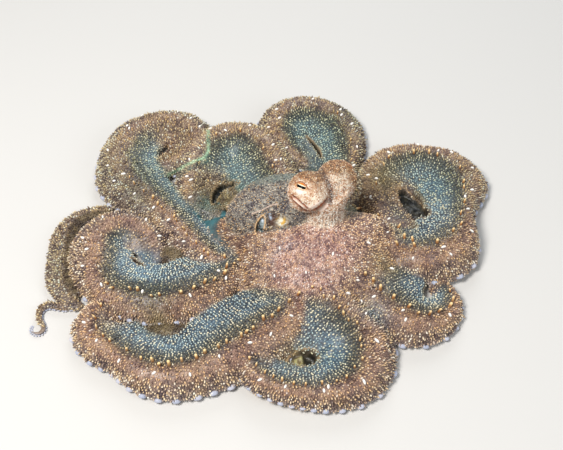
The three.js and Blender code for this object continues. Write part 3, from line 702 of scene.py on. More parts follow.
W = {k: np.zeros(NV) for k in ("pleat", "groove", "lid", "white", "crease", "pads", "cave", "brow")}
move = np.zeros((NV, 3))
for side in (-1, 1):
    b = bulge_at(side)
    R = BULGE["radius"] - INSET
    n, e1, e2 = eye_frame(side)
    d = X - b
    on = (np.linalg.norm(d, axis=1) < R + 2.5) & (reg == R_HEAD)
    a, h, c = d @ e1, d @ e2, d @ n
    front_ = sm(0.2, 0.55, c / R) * on
    # the almond opening between the lids
    bend = 0.10 * a * a
    hh = h - 0.25 + bend * np.where(h > 0, 0.55, -0.25)
    q = np.sqrt((a / 3.0) ** 2 + (hh / np.where(h > 0.25, 1.55, 1.15)) ** 2)
    move += -n * (2.6 * (1 - sm(0.72, 1.0, q)) * front_)[:, None]
    rimlid = np.exp(-(((q - 1.2) / 0.22) ** 2)) * front_
    move += n * (0.42 * rimlid * np.where(h > 0, 1.35, 0.8))[:, None]
    W["lid"] = np.maximum(W["lid"], np.exp(-(((q - 1.15) / 0.3) ** 2)) * front_)
    brow = np.exp(-(((q - 1.75) / 0.4) ** 2)) * front_ * (h > 0)
    move += n * (0.45 * brow)[:, None]
    W["brow"] = np.maximum(W["brow"], np.exp(-(((q - 1.32) / 0.2) ** 2)) * front_ * sm(-0.2, 0.5, h))
    W["white"] = np.maximum(W["white"], np.exp(-((a - 0.3) / 2.6) ** 2) * bell(h, -2.5, 1.15) * front_)
    move += n * (0.35 * np.exp(-((a - 0.3) / 2.8) ** 2) * bell(h, -2.6, 1.2) * front_)[:, None]

# two curved folds under the right eye, with plump pads between and below them
SMILE = [(290.3, 197.6), (294, 202.2), (298, 206), (302.3, 209.3), (306.5, 211.4), (311, 211.8), (315.5, 210.3), (320, 207), (324.5, 203), (328, 199.3)]
SMILE2 = [(291.3, 194.6), (296, 198.2), (302, 203.2), (307.5, 207.8)]
PADS = [([(293.8, 198.6), (299.5, 203.6), (304, 206.8)], 0.8), ([(306, 207.4), (312.5, 206.4), (319, 202)], 1.6), ([(295, 209.8), (301, 213.8), (308, 215.8), (315, 214.2), (321.5, 210), (327, 204.8)], 1.6)]
F = front(X)
ball_r = X - bulge_at(-1)
on = ((np.linalg.norm(ball_r, axis=1) < BULGE["radius"] + 2.0) & (reg == R_HEAD)) * sm(-0.15, 0.2, unit(ball_r) @ TOV)
tb = unit(ball_r)
for pts, wide, deep in ((SMILE, 1.3, 0.9), (SMILE2, 0.9, 0.5)):
    g = drawn(F, pts, wide) * on
    move -= tb * (deep * g)[:, None]
    W["crease"] = np.maximum(W["crease"], np.clip(1.25 * drawn(F, pts, wide * 0.95), 0, 1) * on)
for pts, wide in PADS:
    g = drawn(F, pts, wide * 1.15) * on
    move += tb * (0.6 * g)[:, None]
    W["pads"] = np.maximum(W["pads"], drawn(F, pts, wide) * on)
X = X + move
# a small horn on the outer corner of the left bulge
horn = blob(X, (35.6, -5.6, 41.6), 2.3)
X += unit(np.array([0.85, -0.15, 0.4])) * (1.1 * horn * (reg == R_HEAD))[:, None]

# neck: fine pleats running down from the head
d = X - (NECK_FOOT + HEAD_AT) / 2
phi = np.arctan2(d @ FACE, d @ ACROSS)
neckw = (reg == R_HEAD) * bell(X[:, 2], 27, 8)
W["neck"] = spread((neckw * 1.0)[:, None], E2, NV, steps=10)[:, 0]
pleat = np.sin(phi * 36 + 2.6 * noise(X, 5.0, 3)) * (0.6 + 0.4 * noise(X, 3.0, 4))
X += N * (0.42 * W["neck"] * pleat)[:, None]
W["pleat"] = W["neck"] * sm(0.0, 0.6, -pleat)
# fine streaks down the front of the left bulge
F = front(X)
streak = sm(0.02, 0.35, noise(X * np.array([1, 1, 0.28]), 0.9, 15)) * np.clip(1.4 * dab(F, (337, 194), 12, 21), 0, 1) * (reg == R_HEAD) * sm(-0.1, 0.25, N @ TOV)
W["pleat"] = np.maximum(W["pleat"], 0.5 * streak)
X -= N * (0.14 * streak)[:, None]
# the groove between the two bulges, sunk and painted dark grey as shade
GROOVE = [(317.5, 167.5), (323, 174), (328, 181), (331.5, 188), (332, 196), (330.5, 204)]
F = front(X)
facing = sm(-0.1, 0.25, N @ TOV)
mid = HEAD_AT + np.array([0, 0, 6.0])
dg_ = X - mid
W["groove"] = np.maximum(drawn(F, GROOVE, 2.6) * facing, bell(dg_ @ ACROSS, -1.2, 2.2) * (1 - facing) * sm(-9, 0, dg_[:, 2])) * (reg == R_HEAD)
X -= N * (0.5 * W["groove"])[:, None]

# mantle: short, tangled wrinkles, and the slot where it opens beside the head
mw = spread((is_mantle * 1.0)[:, None], E2, NV, steps=8)[:, 0]
W["mantle"] = mw
q = X + 0.7 * np.stack([noise(X, 1.5, 7), noise(X, 1.5, 8), noise(X, 1.5, 11)], -1)
wr = np.abs(noise(q, 0.95, 5) + 0.2 * noise(q, 3.1, 6))
X += N * (mw * 0.6 * (0.42 - wr * 1.25).clip(-0.55, 0.42))[:, None]
W["wrinkle"] = mw * sm(0.30, 0.50, wr)
W["curl"] = mw * sm(0.22, 0.06, wr)
W["mantop"] = mw * sm(0.62, 0.92, N @ UPV + 0.12 * noise(X, 4.0, 12))

# the slot under the fold beside the head, with the arched lip of the funnel in it
FOLD = [(252, 214.4), (258, 212), (264, 209.5), (270, 206.2), (277.5, 204.3)]
ARCH = [(255.2, 233), (255.6, 227), (257.2, 222), (259.6, 218.2), (263.4, 215.2)]
ARCH2 = [(263.6, 215.4), (265.2, 219.4), (265, 224), (263.6, 229.5)]
F = front(X)
facing = sm(-0.05, 0.3, normals(X) @ TOV)
fore = facing * sm(0.05, 0.5, mw) * (reg != R_HEAD)
W["fold"] = drawn(F, FOLD, 0.7) * fore
X += (UPV * 0.4 + TOV * 0.7) * (0.7 * drawn(F, FOLD, 1.3) * fore)[:, None]
X -= TOV * (0.5 * drawn(F, [(x + 0.4, y + 2.6) for x, y in FOLD], 1.4) * fore)[:, None]
yl = np.interp(F[:, 1], [y for _, y in ARCH[::-1]], [x for x, _ in ARCH[::-1]])
yr = np.interp(F[:, 1], [y for _, y in ARCH2], [x for x, _ in ARCH2])
W["funnel"] = sm(-0.2, 1.2, F[:, 0] - yl) * sm(-0.2, 1.0, yr - F[:, 0]) * sm(215, 217, F[:, 1]) * sm(236, 232, F[:, 1]) * fore
W["cave"] = np.clip(1.7 * dab(F, (273.0, 220.5), 6.4, 8.5) - 0.25, 0, 1) * fore * sm(265.0, 267.0, F[:, 0])
X -= TOV * (2.4 * W["funnel"] + 1.6 * W["cave"])[:, None]
lips = np.maximum(drawn(F, ARCH, 0.9), 0.8 * drawn(F, ARCH2, 0.8)) * fore
X += TOV * (0.7 * lips)[:, None]
W["siplip"] = lips
W["glint"] = np.maximum(drawn(F, [(269.8, 214.2), (270.6, 218.4)], 1.1), drawn(F, [(261.2, 217.6), (262.4, 221.0)], 1.0)) * fore
W["spot"] = np.maximum(1.3 * dab(F, (282, 221.8), 4.8, 4.2), dab(F, (270.4, 227.6), 1.4)) * fore

# the arms' fine relief: low ribs across the hollow of each coil
ribs = np.sin(2 * math.pi * S / 1.85)
arms_mask = ((reg >= 1) & (reg <= 8)) * 1.0
hollow = arms_mask * sm(-0.98, -0.85, V) * (1 - sm(-0.1, 0.2, V)) * (X[:, 2] > 3) * sm(30, 44, rc)
X += N * (0.17 * hollow * ribs)[:, None]
# the arms' roots stand out a little from the web between them
ring_a = np.degrees(np.arctan2(X[:, 1] - CROWN[1], X[:, 0] - CROWN[0]))
root = sum(bell((ring_a - ARMS[n]["base"] + 180) % 360 - 180, 0, 13) for n in ("r1", "r2", "l1", "r3", "l2"))
X += N * ((1.5 * root - 0.7) * bell(rc, 31, 11) * (X[:, 2] > 4) * (~is_mantle) * (reg != R_HEAD))[:, None]
X += N * (0.16 * (1 - mw) * noise(X, 2.2, 9) * (X[:, 2] > 2.4))[:, None]
X += N * (0.30 * sm(60, 30, rc) * (1 - mw) * (reg != R_HEAD) * noise(X, 6.0, 10) * (X[:, 2] > 2.4))[:, None]
X[:, 2] += 0.55 * noise(X, 1.5, 21) * PIT * (X[:, 2] > 1.2)
X[:, 2] = np.maximum(X[:, 2], 0.9)
N = normals(X)
me.vertices.foreach_set("co", ((X - ORIGIN) * 0.001).astype(np.float32).ravel())
me.polygons.foreach_set("use_smooth", np.ones(len(me.polygons), bool))
me.update()
for p in list(me.materials):
    me.materials.pop()

# ---- zones of the markings ---------------------------------------------------------------------
arm_m = (reg >= 1) & (reg <= 8)
end_m = (reg >= 9) & (reg <= 13)
top = sm(1.9, 3.0, X[:, 2])
fade = sm(33, 47, rc)
VJ = V + 0.07 * noise(X, 4.5, 31) + 0.05 * noise(X, 1.6, 32)
VJ = VJ + np.select([reg == REGION["r4"], reg == REGION["l3"], reg == REGION["l4"]], [0.34, 0.16, 0.12], 0.0)
VJ = VJ + (reg == REGION["r3"]) * (0.42 * sm(50, 78, S) - 0.24 * (1 - sm(50, 70, S)))
BLUE_END = {"r1": (0.72, 0.95), "r2": (0.72, 0.92), "r3": (0.72, 0.9), "r4": (0.55, 0.72), "l4": (0.52, 0.72), "l3": (0.84, 0.98), "l2": (0.66, 0.85), "l1": (0.9, 1.0)}
along = np.ones(NV)
for name, (a, b) in BLUE_END.items():
    m = reg == REGION[name]
    along[m] = 1 - sm(a * ARMS[name]["run"], b * ARMS[name]["run"], S[m])
Z = {}
Z["blue"] = arm_m * (1 - sm(-0.12, 0.26, VJ)) * fade * along
Z["dark"] = np.maximum(arm_m * sm(-0.45, -0.02, VJ) * (1 - sm(0.16, 0.34, VJ)) * sm(38, 50, rc) * (0.3 + 0.7 * along), 0.8 * arm_m * (1 - sm(-0.1, 0.3, VJ)) * bell(rc, 42, 6))
Z["ridge"] = arm_m * bell(VJ, 0.58, 0.13) * fade
Z["outer"] = arm_m * sm(0.66, 0.82, VJ) * fade + end_m * 0.6
Z["rim"] = arm_m * sm(0.9, 1.0, V) * fade
Z["lip"] = arm_m * (1 - sm(-0.99, -0.93, V)) * fade * along
ang = np.degrees(np.arctan2(X[:, 1] - CROWN[1], X[:, 0] - CROWN[0])) % 360
# the low web and the arms' inner lips on this side of the crown are teal: their own colour, painted darker as shade
Z["teal"] = (is_web | is_arm) * bell(ang, 158, 22) * sm(40, 46, rc) * (1 - sm(66, 74, rc)) * (1 - sm(7, 10, X[:, 2])) * (is_web | (V < -0.8))
FVIEW = front(X)
FACING = sm(-0.1, 0.25, N @ TOV)
BLUE_PATCH = np.clip(np.maximum(1.3 * blob(X, (-72.0, -26.0, 8), 5.0, 12), 1.5 * FACING * dab(FVIEW, (139, 261), 19, 12)), 0, 1) * (reg == REGION["r3"])
FILL = (reg == R_FILL) * 1.0
Z["blue"] = np.maximum(Z["blue"], np.maximum(BLUE_PATCH, 0.8 * FILL))
Z["dark"] = np.maximum(Z["dark"], 0.35 * FILL)
FAR = {1: 0, 2: 0, 3: 0.15, 4: 0.85, 5: 0.9, 6: 1.0, 7: 0.5, 8: 0.0, 9: 1.0, 10: 1.0, 11: 1.0, R_FILL: 1.0}
far = np.select([reg == k for k in FAR], list(FAR.values()), 0.0).astype(float)
Z["far"] = np.clip(far * sm(-18, 25, X[:, 1]) + 1.0 * (reg == 9) + 1.0 * (reg == 10), 0, 1)
Z["pink"] = np.clip(blob(X, (11, -43, 16), 15, 12) + 0.9 * blob(X, (20, -33, 22), 12, 12) + 0.25 * bell(rc, 20, 12), 0, 1) * (reg != R_HEAD) * (~is_mantle)
Z["head"] = (reg == R_HEAD) * 1.0
Z["mantle"] = is_mantle * 1.0
Z["shade_web"] = (reg == R_SHADE_WEB) * 1.0
Z["under"] = (1 - top) * (N[:, 2] < 0.1)
Z["slate"] = np.clip(blob(X, (43, -65.5, 12), 6.5, 12) + 0.8 * blob(X, (-40, 3, 6), 9, 9) + 0.7 * blob(X, (60, 0, 8), 7, 12), 0, 1) * arm_m
Z["slate"] = np.maximum(Z["slate"], FACING * np.clip(1.1 * dab(FVIEW, (150, 276), 15, 9) * (reg == REGION["r3"]) + 0.6 * dab(FVIEW, (200, 345), 26, 9) * (reg == REGION["r2"]), 0, 1))
# olive brown-green in the coils and gaps: partly the tissue's own colour, partly painted shade
Z["olive"] = np.clip(1.2 * blob(X, (-57.8, -67.5, 5), 6, 9) + blob(X, (-30, 14, 7), 12, 12) + 0.8 * blob(X, (52, 24, 8), 12, 14) + 0.7 * blob(X, (50, -36, 14), 7, 14) + 0.8 * blob(X, (7, -87, 5), 8, 9), 0, 1)
keys = list(Z)
A = spread(np.stack([np.asarray(Z[k], float) for k in keys], -1), E2, NV, steps=3)
Z = {k: A[:, i] for i, k in enumerate(keys)}
# the head and the mantle run out softly into the web
for k, n in (("head", 14), ("mantle", 8), ("blue", 10), ("dark", 8)):
    Z[k] = spread(Z[k][:, None], E2, NV, steps=n)[:, 0]
topness = np.zeros(NV)
for side in (-1, 1):
    d = X - bulge_at(side)
    topness = np.maximum(topness, (reg == R_HEAD) * (np.linalg.norm(d, axis=1) < 13) * sm(1.5, 8.0, d @ unit(np.array([-0.05, 0.45, 1.0])) + 1.3 * noise(X, 3.0, 33)))
caps = np.clip(1.6 * dab(FVIEW, (303, 172.5), 11, 8.0) + dab(FVIEW, (290.5, 180.0), 4.5, 5.0) + 0.9 * dab(FVIEW, (318, 178), 9, 10) + 0.45 * dab(FVIEW, (322, 190), 6, 6) + 1.7 * dab(FVIEW, (338, 163.5), 16, 11.0) + 1.3 * dab(FVIEW, (355.5, 178), 5.5, 12), 0, 1)
topness = np.maximum(topness * (1 - FACING), caps * FACING * (reg == R_HEAD) * sm(-1.0, 0.2, noise(X, 1.6, 34) + 0.8 * caps))
Z["crownlet"] = spread(topness[:, None], E2, NV, steps=2)[:, 0]
Z["neck"] = W["neck"]
for k in ("lid", "white", "crease", "pads", "cave", "brow", "fold", "pleat", "groove", "wrinkle", "siplip", "spot", "curl", "mantop", "funnel", "glint"):
    Z[k] = W[k]
Z["coil"] = spread(COIL[:, None], E2, NV, steps=2)[:, 0]
EDGE = [(168.4, 174.5), (180, 168.8), (193, 161.6), (205, 157.4), (208.4, 151.5), (208.6, 131)]
Z["edge"] = drawn(FVIEW, EDGE, 1.5) * FACING * arm_m
# painted shadow in dark teal: under the pale edge line, beside the thin loose arm and in two hollows, at places of the
# front picture
Z["teal_shadow"] = np.clip(0.4 * dab(FVIEW, (57, 262), 10, 28) + dab(FVIEW, (206, 203), 15, 9) + dab(FVIEW, (354, 211), 11, 7) + 0.8 * drawn(FVIEW, [(x + 1.5, y + 4.6) for x, y in EDGE[:5]], 2.2), 0, 1) * FACING * (arm_m | is_web) * (1 - Z["edge"])
Z["pit"] = PIT
Z["shade"] = np.clip(1.0 * dab(FVIEW, (150, 300), 24, 14) + 1.0 * dab(FVIEW, (140, 190), 15, 20) + 0.35 * dab(FVIEW, (360, 290), 40, 24) + 0.65 * dab(FVIEW, (345, 115), 16, 16)
                     + 0.5 * dab(FVIEW, (115, 170), 22, 30) + 0.4 * dab(FVIEW, (312, 171), 14, 7) + 0.3 * dab(FVIEW, (345, 174), 20, 13) + 0.6 * dab(FVIEW, (330, 358), 24, 14) + 0.45 * dab(FVIEW, (57, 265), 12, 30)
                     + 0.6 * dab(FVIEW, (466, 190), 14, 40) + 0.6 * dab(FVIEW, (440, 185), 18, 16) + 0.4 * dab(FVIEW, (330, 138), 20, 15) + 0.2 * dab(FVIEW, (352, 122), 20, 20), 0, 1)
Z["lift"] = np.clip(1.0 * dab(FVIEW, (200, 158), 14, 18) + 0.9 * dab(FVIEW, (180, 394), 50, 7) + 0.6 * dab(FVIEW, (325, 222), 20, 10) + 0.7 * dab(FVIEW, (373, 225), 14, 8) + 0.55 * dab(FVIEW, (148, 274), 22, 13) + 0.3 * dab(FVIEW, (195, 345), 34, 11) + 0.5 * dab(FVIEW, (318, 196), 10, 9), 0, 1)
Z["pitrim"] = PITRIM
Z["blue"] = Z["blue"] * (1 - PIT)

PACKS = {   # three zone weights ride in each vector attribute
    "zA": ("blue", "dark", "ridge"), "zB": ("outer", "rim", "lip"), "zC": ("teal", "far", "pink"),
    "zD": ("head", "mantle", "shade_web"), "zE": ("under", "neck", "crownlet"), "zF": ("lid", "white", "crease"),
    "zG": ("pads", "cave", "brow"), "zH": ("fold", "siplip", "pit"), "zI": ("slate", "olive", "pleat"), "zJ": ("groove", "wrinkle", "spot"),
    "zK": ("pitrim", "curl", "mantop"), "zL": ("funnel", "glint", "coil"), "zM": ("edge", "teal_shadow", "shade"), "zN": ("lift", "spot", "pit"),
}


def put_vectors(mesh, values):
    for name, ks in PACKS.items():
        a = mesh.attributes.new(name, "FLOAT_VECTOR", "POINT")
        a.data.foreach_set("vector", np.stack([values[k] for k in ks], -1).astype(np.float32).ravel())


put_vectors(me, Z)


# ---- node materials -----------------------------------------------------------------------------
def lin(r, g, b):
    f = lambda c: c / 12.92 if c <= 0.04045 else ((c + 0.055) / 1.055) ** 2.4
    return (f(r / 255), f(g / 255), f(b / 255), 1.0)


class Nodes:
    def __init__(self, name, zoned=True):
        self.mat = bpy.data.materials.new(name)
        self.mat.use_nodes = True
        self.t = self.mat.node_tree
        self.bsdf = self.t.nodes["Principled BSDF"]
        self.out = {}
        if zoned:
            self.zones()
        co = self.t.nodes.new("ShaderNodeTexCoord")
        self.co = co.outputs["Object"]

    def new(self, kind, **kw):
        n = self.t.nodes.new(kind)
        for k, v in kw.items():
            setattr(n, k, v)
        return n

    def link(self, a, b):
        if hasattr(a, "is_output"):
            self.t.links.new(a, b)
        else:
            b.default_value = a

    def zones(self):
        for name, ks in PACKS.items():
            a = self.new("ShaderNodeAttribute", attribute_name=name)
            s = self.new("ShaderNodeSeparateXYZ")
            self.t.links.new(a.outputs["Vector"], s.inputs[0])
            for k, o in zip(ks, s.outputs):
                self.out[k] = o

    def attr(self, name):
        return self.new("ShaderNodeAttribute", attribute_name=name).outputs["Fac"]

    def math(self, op, a, b=0.0, c=None, clamp=False):
        n = self.new("ShaderNodeMath", operation=op, use_clamp=clamp)
        self.link(a, n.inputs[0])
        self.link(b, n.inputs[1])
        if c is not None:
            self.link(c, n.inputs[2])
        return n.outputs[0]

    def mix(self, fac, a, b, kind="MIX"):
        n = self.new("ShaderNodeMix", data_type="RGBA", blend_type=kind, clamp_factor=True)
        self.link(fac, n.inputs[0])
        self.link(a, n.inputs[6])
        self.link(b, n.inputs[7])
        return n.outputs[2]

    def by(self, zone, share, c, other):
        """Mixes other into c by a share of the zone's weight."""
        return self.mix(self.math("MULTIPLY", zone, share), c, other)

    def noise(self, scale, detail=3.0, rough=0.55, co=None, warp=0.0):
        n = self.new("ShaderNodeTexNoise")
        n.inputs["Scale"].default_value = scale
        n.inputs["Detail"].default_value = detail
        n.inputs["Roughness"].default_value = rough
        n.inputs["Distortion"].default_value = warp
        self.t.links.new(co or self.co, n.inputs["Vector"])
        return n.outputs["Fac"]

    def cells(self, scale, out="Distance", feature="F1", rand=1.0):
        n = self.new("ShaderNodeTexVoronoi", feature=feature)
        n.inputs["Scale"].default_value = scale
        n.inputs["Randomness"].default_value = rand
        self.t.links.new(self.co, n.inputs["Vector"])
        return n.outputs[out]

    def ramp(self, fac, stops, interp="LINEAR"):
        n = self.new("ShaderNodeValToRGB")
        r = n.color_ramp
        r.interpolation = interp
        while len(r.elements) < len(stops):
            r.elements.new(0.5)
        for e, (p, c) in zip(r.elements, stops):
            e.position = p
            e.color = c if len(c) == 4 else (*c, 1)
        self.link(fac, n.inputs[0])
        return n.outputs["Color"]

    def step(self, fac, lo, hi):
        n = self.new("ShaderNodeMapRange", interpolation_type="SMOOTHSTEP")
        self.link(fac, n.inputs["Value"])
        n.inputs["From Min"].default_value = lo
        n.inputs["From Max"].default_value = hi
        return n.outputs["Result"]

    def bump(self, height, dist, strength=1.0, normal=None):
        n = self.new("ShaderNodeBump")
        n.inputs["Strength"].default_value = strength
        n.inputs["Distance"].default_value = dist
        self.t.links.new(height, n.inputs["Height"])
        if normal is not None:
            self.t.links.new(normal, n.inputs["Normal"])
        return n.outputs["Normal"]


# colours of the ground, and of the papillae that stand on it, zone by zone
def markings(k, ground):
    """Colour by zone. ground: the skin itself; else the papillae on it."""
    o = k.out
    big = k.noise(70, 3, 0.55)
    mid = k.noise(230, 3, 0.6)
    fine = k.noise(900, 2, 0.6)
    if ground:
        brown = k.mix(k.step(mid, 0.38, 0.6), lin(74, 56, 60), lin(138, 112, 98))
        brown = k.by(k.step(fine, 0.46, 0.68), 0.45, brown, lin(204, 172, 146))
        outer = k.mix(k.step(mid, 0.38, 0.6), lin(70, 57, 60), lin(130, 110, 100))
        outer = k.by(k.step(fine, 0.46, 0.68), 0.5, outer, lin(190, 168, 146))
        blue = k.mix(k.step(fine, 0.36, 0.64), lin(38, 50, 62), lin(84, 100, 112))
        blue = k.mix(k.step(big, 0.42, 0.62), blue, k.mix(0.42, blue, lin(108, 136, 156)))
        dark = k.mix(k.step(fine, 0.4, 0.7), lin(34, 40, 40), lin(92, 94, 80))
        mound = k.mix(k.step(mid, 0.38, 0.58), lin(98, 68, 70), lin(186, 150, 134))
        mound = k.by(k.step(fine, 0.44, 0.7), 0.6, mound, lin(216, 190, 174))
        head = k.mix(k.step(mid, 0.36, 0.58), lin(204, 166, 132), lin(244, 226, 202))
        mant = k.mix(k.step(mid, 0.36, 0.62), lin(70, 66, 72), lin(122, 118, 110))
    else:
        r = k.math("ADD", k.attr("rnd"), k.math("MULTIPLY", k.math("SUBTRACT", mid, 0.5), 0.8), clamp=True)
        brown = k.ramp(r, [(0.0, lin(92, 70, 70)), (0.2, lin(136, 108, 96)), (0.4, lin(188, 158, 130)), (0.58, lin(218, 190, 154)), (0.76, lin(234, 186, 124)), (0.88, lin(242, 214, 170)), (1.0, lin(250, 242, 226))])
        outer = k.ramp(r, [(0.0, lin(78, 62, 64)), (0.28, lin(128, 106, 98)), (0.5, lin(192, 168, 142)), (0.72, lin(228, 198, 148)), (1.0, lin(248, 242, 224))])
        blue = k.ramp(r, [(0.0, lin(128, 152, 162)), (0.45, lin(182, 202, 200)), (1.0, lin(242, 232, 198))])
        dark = k.ramp(r, [(0.0, lin(70, 66, 58)), (0.4, lin(150, 136, 104)), (0.75, lin(204, 192, 152)), (1.0, lin(236, 228, 200))])
        mound = k.ramp(r, [(0.0, lin(82, 56, 62)), (0.22, lin(134, 96, 88)), (0.42, lin(206, 166, 144)), (0.64, lin(226, 182, 138)), (0.82, lin(234, 210, 196)), (1.0, lin(252, 246, 238))])
        head = k.ramp(r, [(0.0, lin(138, 82, 52)), (0.22, lin(192, 126, 82)), (0.42, lin(230, 192, 158)), (0.66, lin(248, 232, 214)), (1.0, lin(255, 252, 246))])
        mant = k.ramp(r, [(0.0, lin(74, 66, 68)), (0.26, lin(122, 110, 102)), (0.5, lin(176, 160, 140)), (0.74, lin(212, 172, 120)), (1.0, lin(236, 226, 208))])
    c = brown
    tone = k.step(big, 0.4, 0.62)
    c = k.by(tone, 0.3, c, k.mix(0.5, c, lin(178, 134, 84)))
    wide = k.noise(105, 2, 0.55)
    c = k.by(o["outer"], 0.9, c, outer)
    c = k.by(o["ridge"], 0.6, c, k.mix(0.42, c, lin(214, 178, 156)))
    c = k.mix(k.step(o["pink"], 0.0, 0.7), c, mound)
    c = k.by(o["pink"], 0.5, c, k.mix(0.35, c, lin(226, 184, 176)))
    c = k.by(k.step(wide, 0.5, 0.66), 0.42, c, k.mix(1.0, c, lin(198, 176, 186), "MULTIPLY"))
    c = k.by(k.step(wide, 0.46, 0.32), 0.4, c, k.mix(0.45, c, lin(196, 152, 96)))
    c = k.mix(o["blue"], c, blue)
    c = k.by(k.math("MULTIPLY", o["blue"], o["far"]), 0.5, c, k.mix(k.step(mid, 0.38, 0.62), lin(72, 82, 80), lin(126, 138, 126)) if ground else k.mix(0.3, c, lin(160, 164, 140)))
    c = k.by(o["slate"], 0.75, c, blue)
    c = k.by(o["dark"], 0.85, c, dark)
    # olive: darkened and mixed to brown-green, partly its own colour, partly painted shade
    c = k.by(o["olive"], 0.85, c, k.mix(0.6, k.mix(1.0, c, (0.72, 0.72, 0.66, 1), "MULTIPLY"), lin(128, 118, 72)))
    c = k.by(o["lip"], 0.75, c, k.mix(0.6, c, lin(196, 170, 124)))
    c = k.by(o["rim"], 0.7, c, k.mix(0.5, c, lin(198, 190, 188)))
    c = k.mix(o["mantle"], c, mant)
    c = k.by(o["mantop"], 0.75, c, k.mix(k.step(fine, 0.44, 0.6), lin(72, 98, 98), lin(134, 152, 140)))
    # painted shade: the low webs in the gaps between arms are dark brown
    c = k.by(o["shade_web"], 0.9, c, k.mix(k.step(mid, 0.4, 0.6), lin(58, 48, 38), lin(118, 104, 76)))
    # painted shadow: dark teal
    c = k.by(o["teal_shadow"], 0.62, c, k.mix(k.step(mid, 0.38, 0.62), lin(34, 62, 64), lin(86, 122, 112)))
    c = k.by(o["edge"], 0.85, c, k.mix(k.step(mid, 0.4, 0.6), lin(136, 168, 140), lin(190, 214, 176)))
    c = k.mix(o["head"], c, head)
    c = k.by(k.math("MULTIPLY", o["head"], k.step(k.noise(420, 2, 0.6), 0.52, 0.66)), 0.4, c, lin(196, 136, 96))
    c = k.by(o["neck"], 0.8, c, k.mix(0.5, c, lin(206, 194, 178)))
    capc = k.mix(k.step(fine, 0.42, 0.58), lin(96, 66, 48), lin(170, 122, 80)) if ground else k.ramp(r, [(0.0, lin(78, 54, 44)), (0.3, lin(134, 92, 60)), (0.6, lin(198, 146, 90)), (0.85, lin(236, 206, 160)), (1.0, lin(250, 236, 214))])
    c = k.by(o["crownlet"], 0.94, c, capc)
    c = k.by(o["shade"], 1.0, c, k.mix(1.0, c, (0.62, 0.74, 0.76, 1), "MULTIPLY"))
    c = k.by(o["lift"], 1.0, c, k.mix(1.0, c, (1.28, 1.38, 1.44, 1), "MULTIPLY"))
    # the back of the animal is greener and duller
    c = k.by(o["far"], 0.8, c, k.mix(1.0, c, (0.86, 0.97, 0.95, 1), "MULTIPLY"))
    return c


def skin_material():
    k = Nodes("skin")
    o = k.out
    c = markings(k, True)
    cells = k.cells(820)
    # the skin is darker at the borders of the cells, which the bump sinks: partly the dark skin between the granules,
    # partly painted shade in those grooves
    gap = k.step(cells, 0.42, 0.78)
    coat_zone = k.math("SUBTRACT", 1.0, k.math("ADD", o["head"], o["mantle"], clamp=True), clamp=True)
    c = k.by(k.math("MULTIPLY", gap, coat_zone), 0.5, c, lin(54, 44, 44))
    # head: orange lines in the folds, cream pads, white patch under the lid, orange brow
    speck = k.step(k.cells(760), 0.37, 0.2)
    c = k.by(k.math("MULTIPLY", speck, o["head"]), 0.75, c, lin(176, 112, 72))
    # painted shade: dark grey in the groove between the bulges
    c = k.by(o["groove"], 0.9, c, lin(78, 76, 80))
    c = k.by(o["pleat"], 0.9, c, lin(84, 76, 76))
    c = k.by(o["wrinkle"], 0.85, c, lin(66, 58, 62))
    c = k.by(o["curl"], 0.6, c, lin(184, 176, 162))
    c = k.by(o["pads"], 0.9, c, lin(248, 226, 212))
    c = k.mix(o["white"], c, lin(252, 248, 240))
    c = k.by(o["crease"], 1.0, c, k.mix(k.step(k.noise(700, 2, 0.6), 0.4, 0.6), lin(98, 46, 30), lin(164, 88, 54)))
    c = k.by(o["lid"], 0.6, c, lin(222, 164, 104))
    c = k.mix(o["brow"], c, lin(132, 72, 36))
    c = k.mix(o["cave"], c, lin(78, 52, 42))
    c = k.mix(o["funnel"], c, k.mix(k.step(k.noise(260, 2, 0.5), 0.35, 0.65), lin(92, 106, 106), lin(132, 146, 150)))
    c = k.mix(o["glint"], c, lin(196, 212, 230))
    c = k.mix(o["coil"], c, k.mix(k.step(k.noise(420, 2, 0.6), 0.42, 0.58), lin(112, 98, 66), lin(166, 160, 112)))
    c = k.by(o["fold"], 0.85, c, lin(216, 190, 172))
    c = k.mix(o["siplip"], c, lin(248, 206, 152))
    c = k.mix(o["spot"], c, k.mix(k.step(k.noise(500, 2, 0.5), 0.4, 0.6), lin(226, 180, 84), lin(250, 244, 224)))
    # teal web: its own colour, painted darker as shade
    c = k.mix(o["teal"], c, k.mix(k.step(k.noise(160, 2, 0.5), 0.3, 0.7), lin(26, 78, 86), lin(66, 120, 128)))
    c = k.by(o["pitrim"], 0.55, c, lin(200, 164, 112))
    # painted shade: the sunk floors of the slits and holes are near black, with a little dark olive
    c = k.by(k.math("SUBTRACT", o["pit"], o["coil"], clamp=True), 0.97, c, k.mix(k.step(k.noise(380, 3, 0.6), 0.4, 0.62), lin(6, 12, 14), lin(40, 38, 26)))
    c = k.mix(o["under"], c, k.mix(k.step(k.noise(140, 3, 0.5), 0.35, 0.65), lin(206, 190, 182), lin(224, 212, 200)))
    k.t.links.new(c, k.bsdf.inputs["Base Color"])
    k.bsdf.inputs["Roughness"].default_value = 0.46
    k.bsdf.inputs["IOR"].default_value = 1.4
    k.bsdf.inputs["Coat Weight"].default_value = 0.12
    k.bsdf.inputs["Coat Roughness"].default_value = 0.22
    h = k.math("ADD", k.math("MULTIPLY", k.noise(1500, 3, 0.6), 0.6), k.math("MULTIPLY", cells, -0.8))
    k.t.links.new(k.bump(h, 0.0003, 0.55), k.bsdf.inputs["Normal"])
    return k.mat


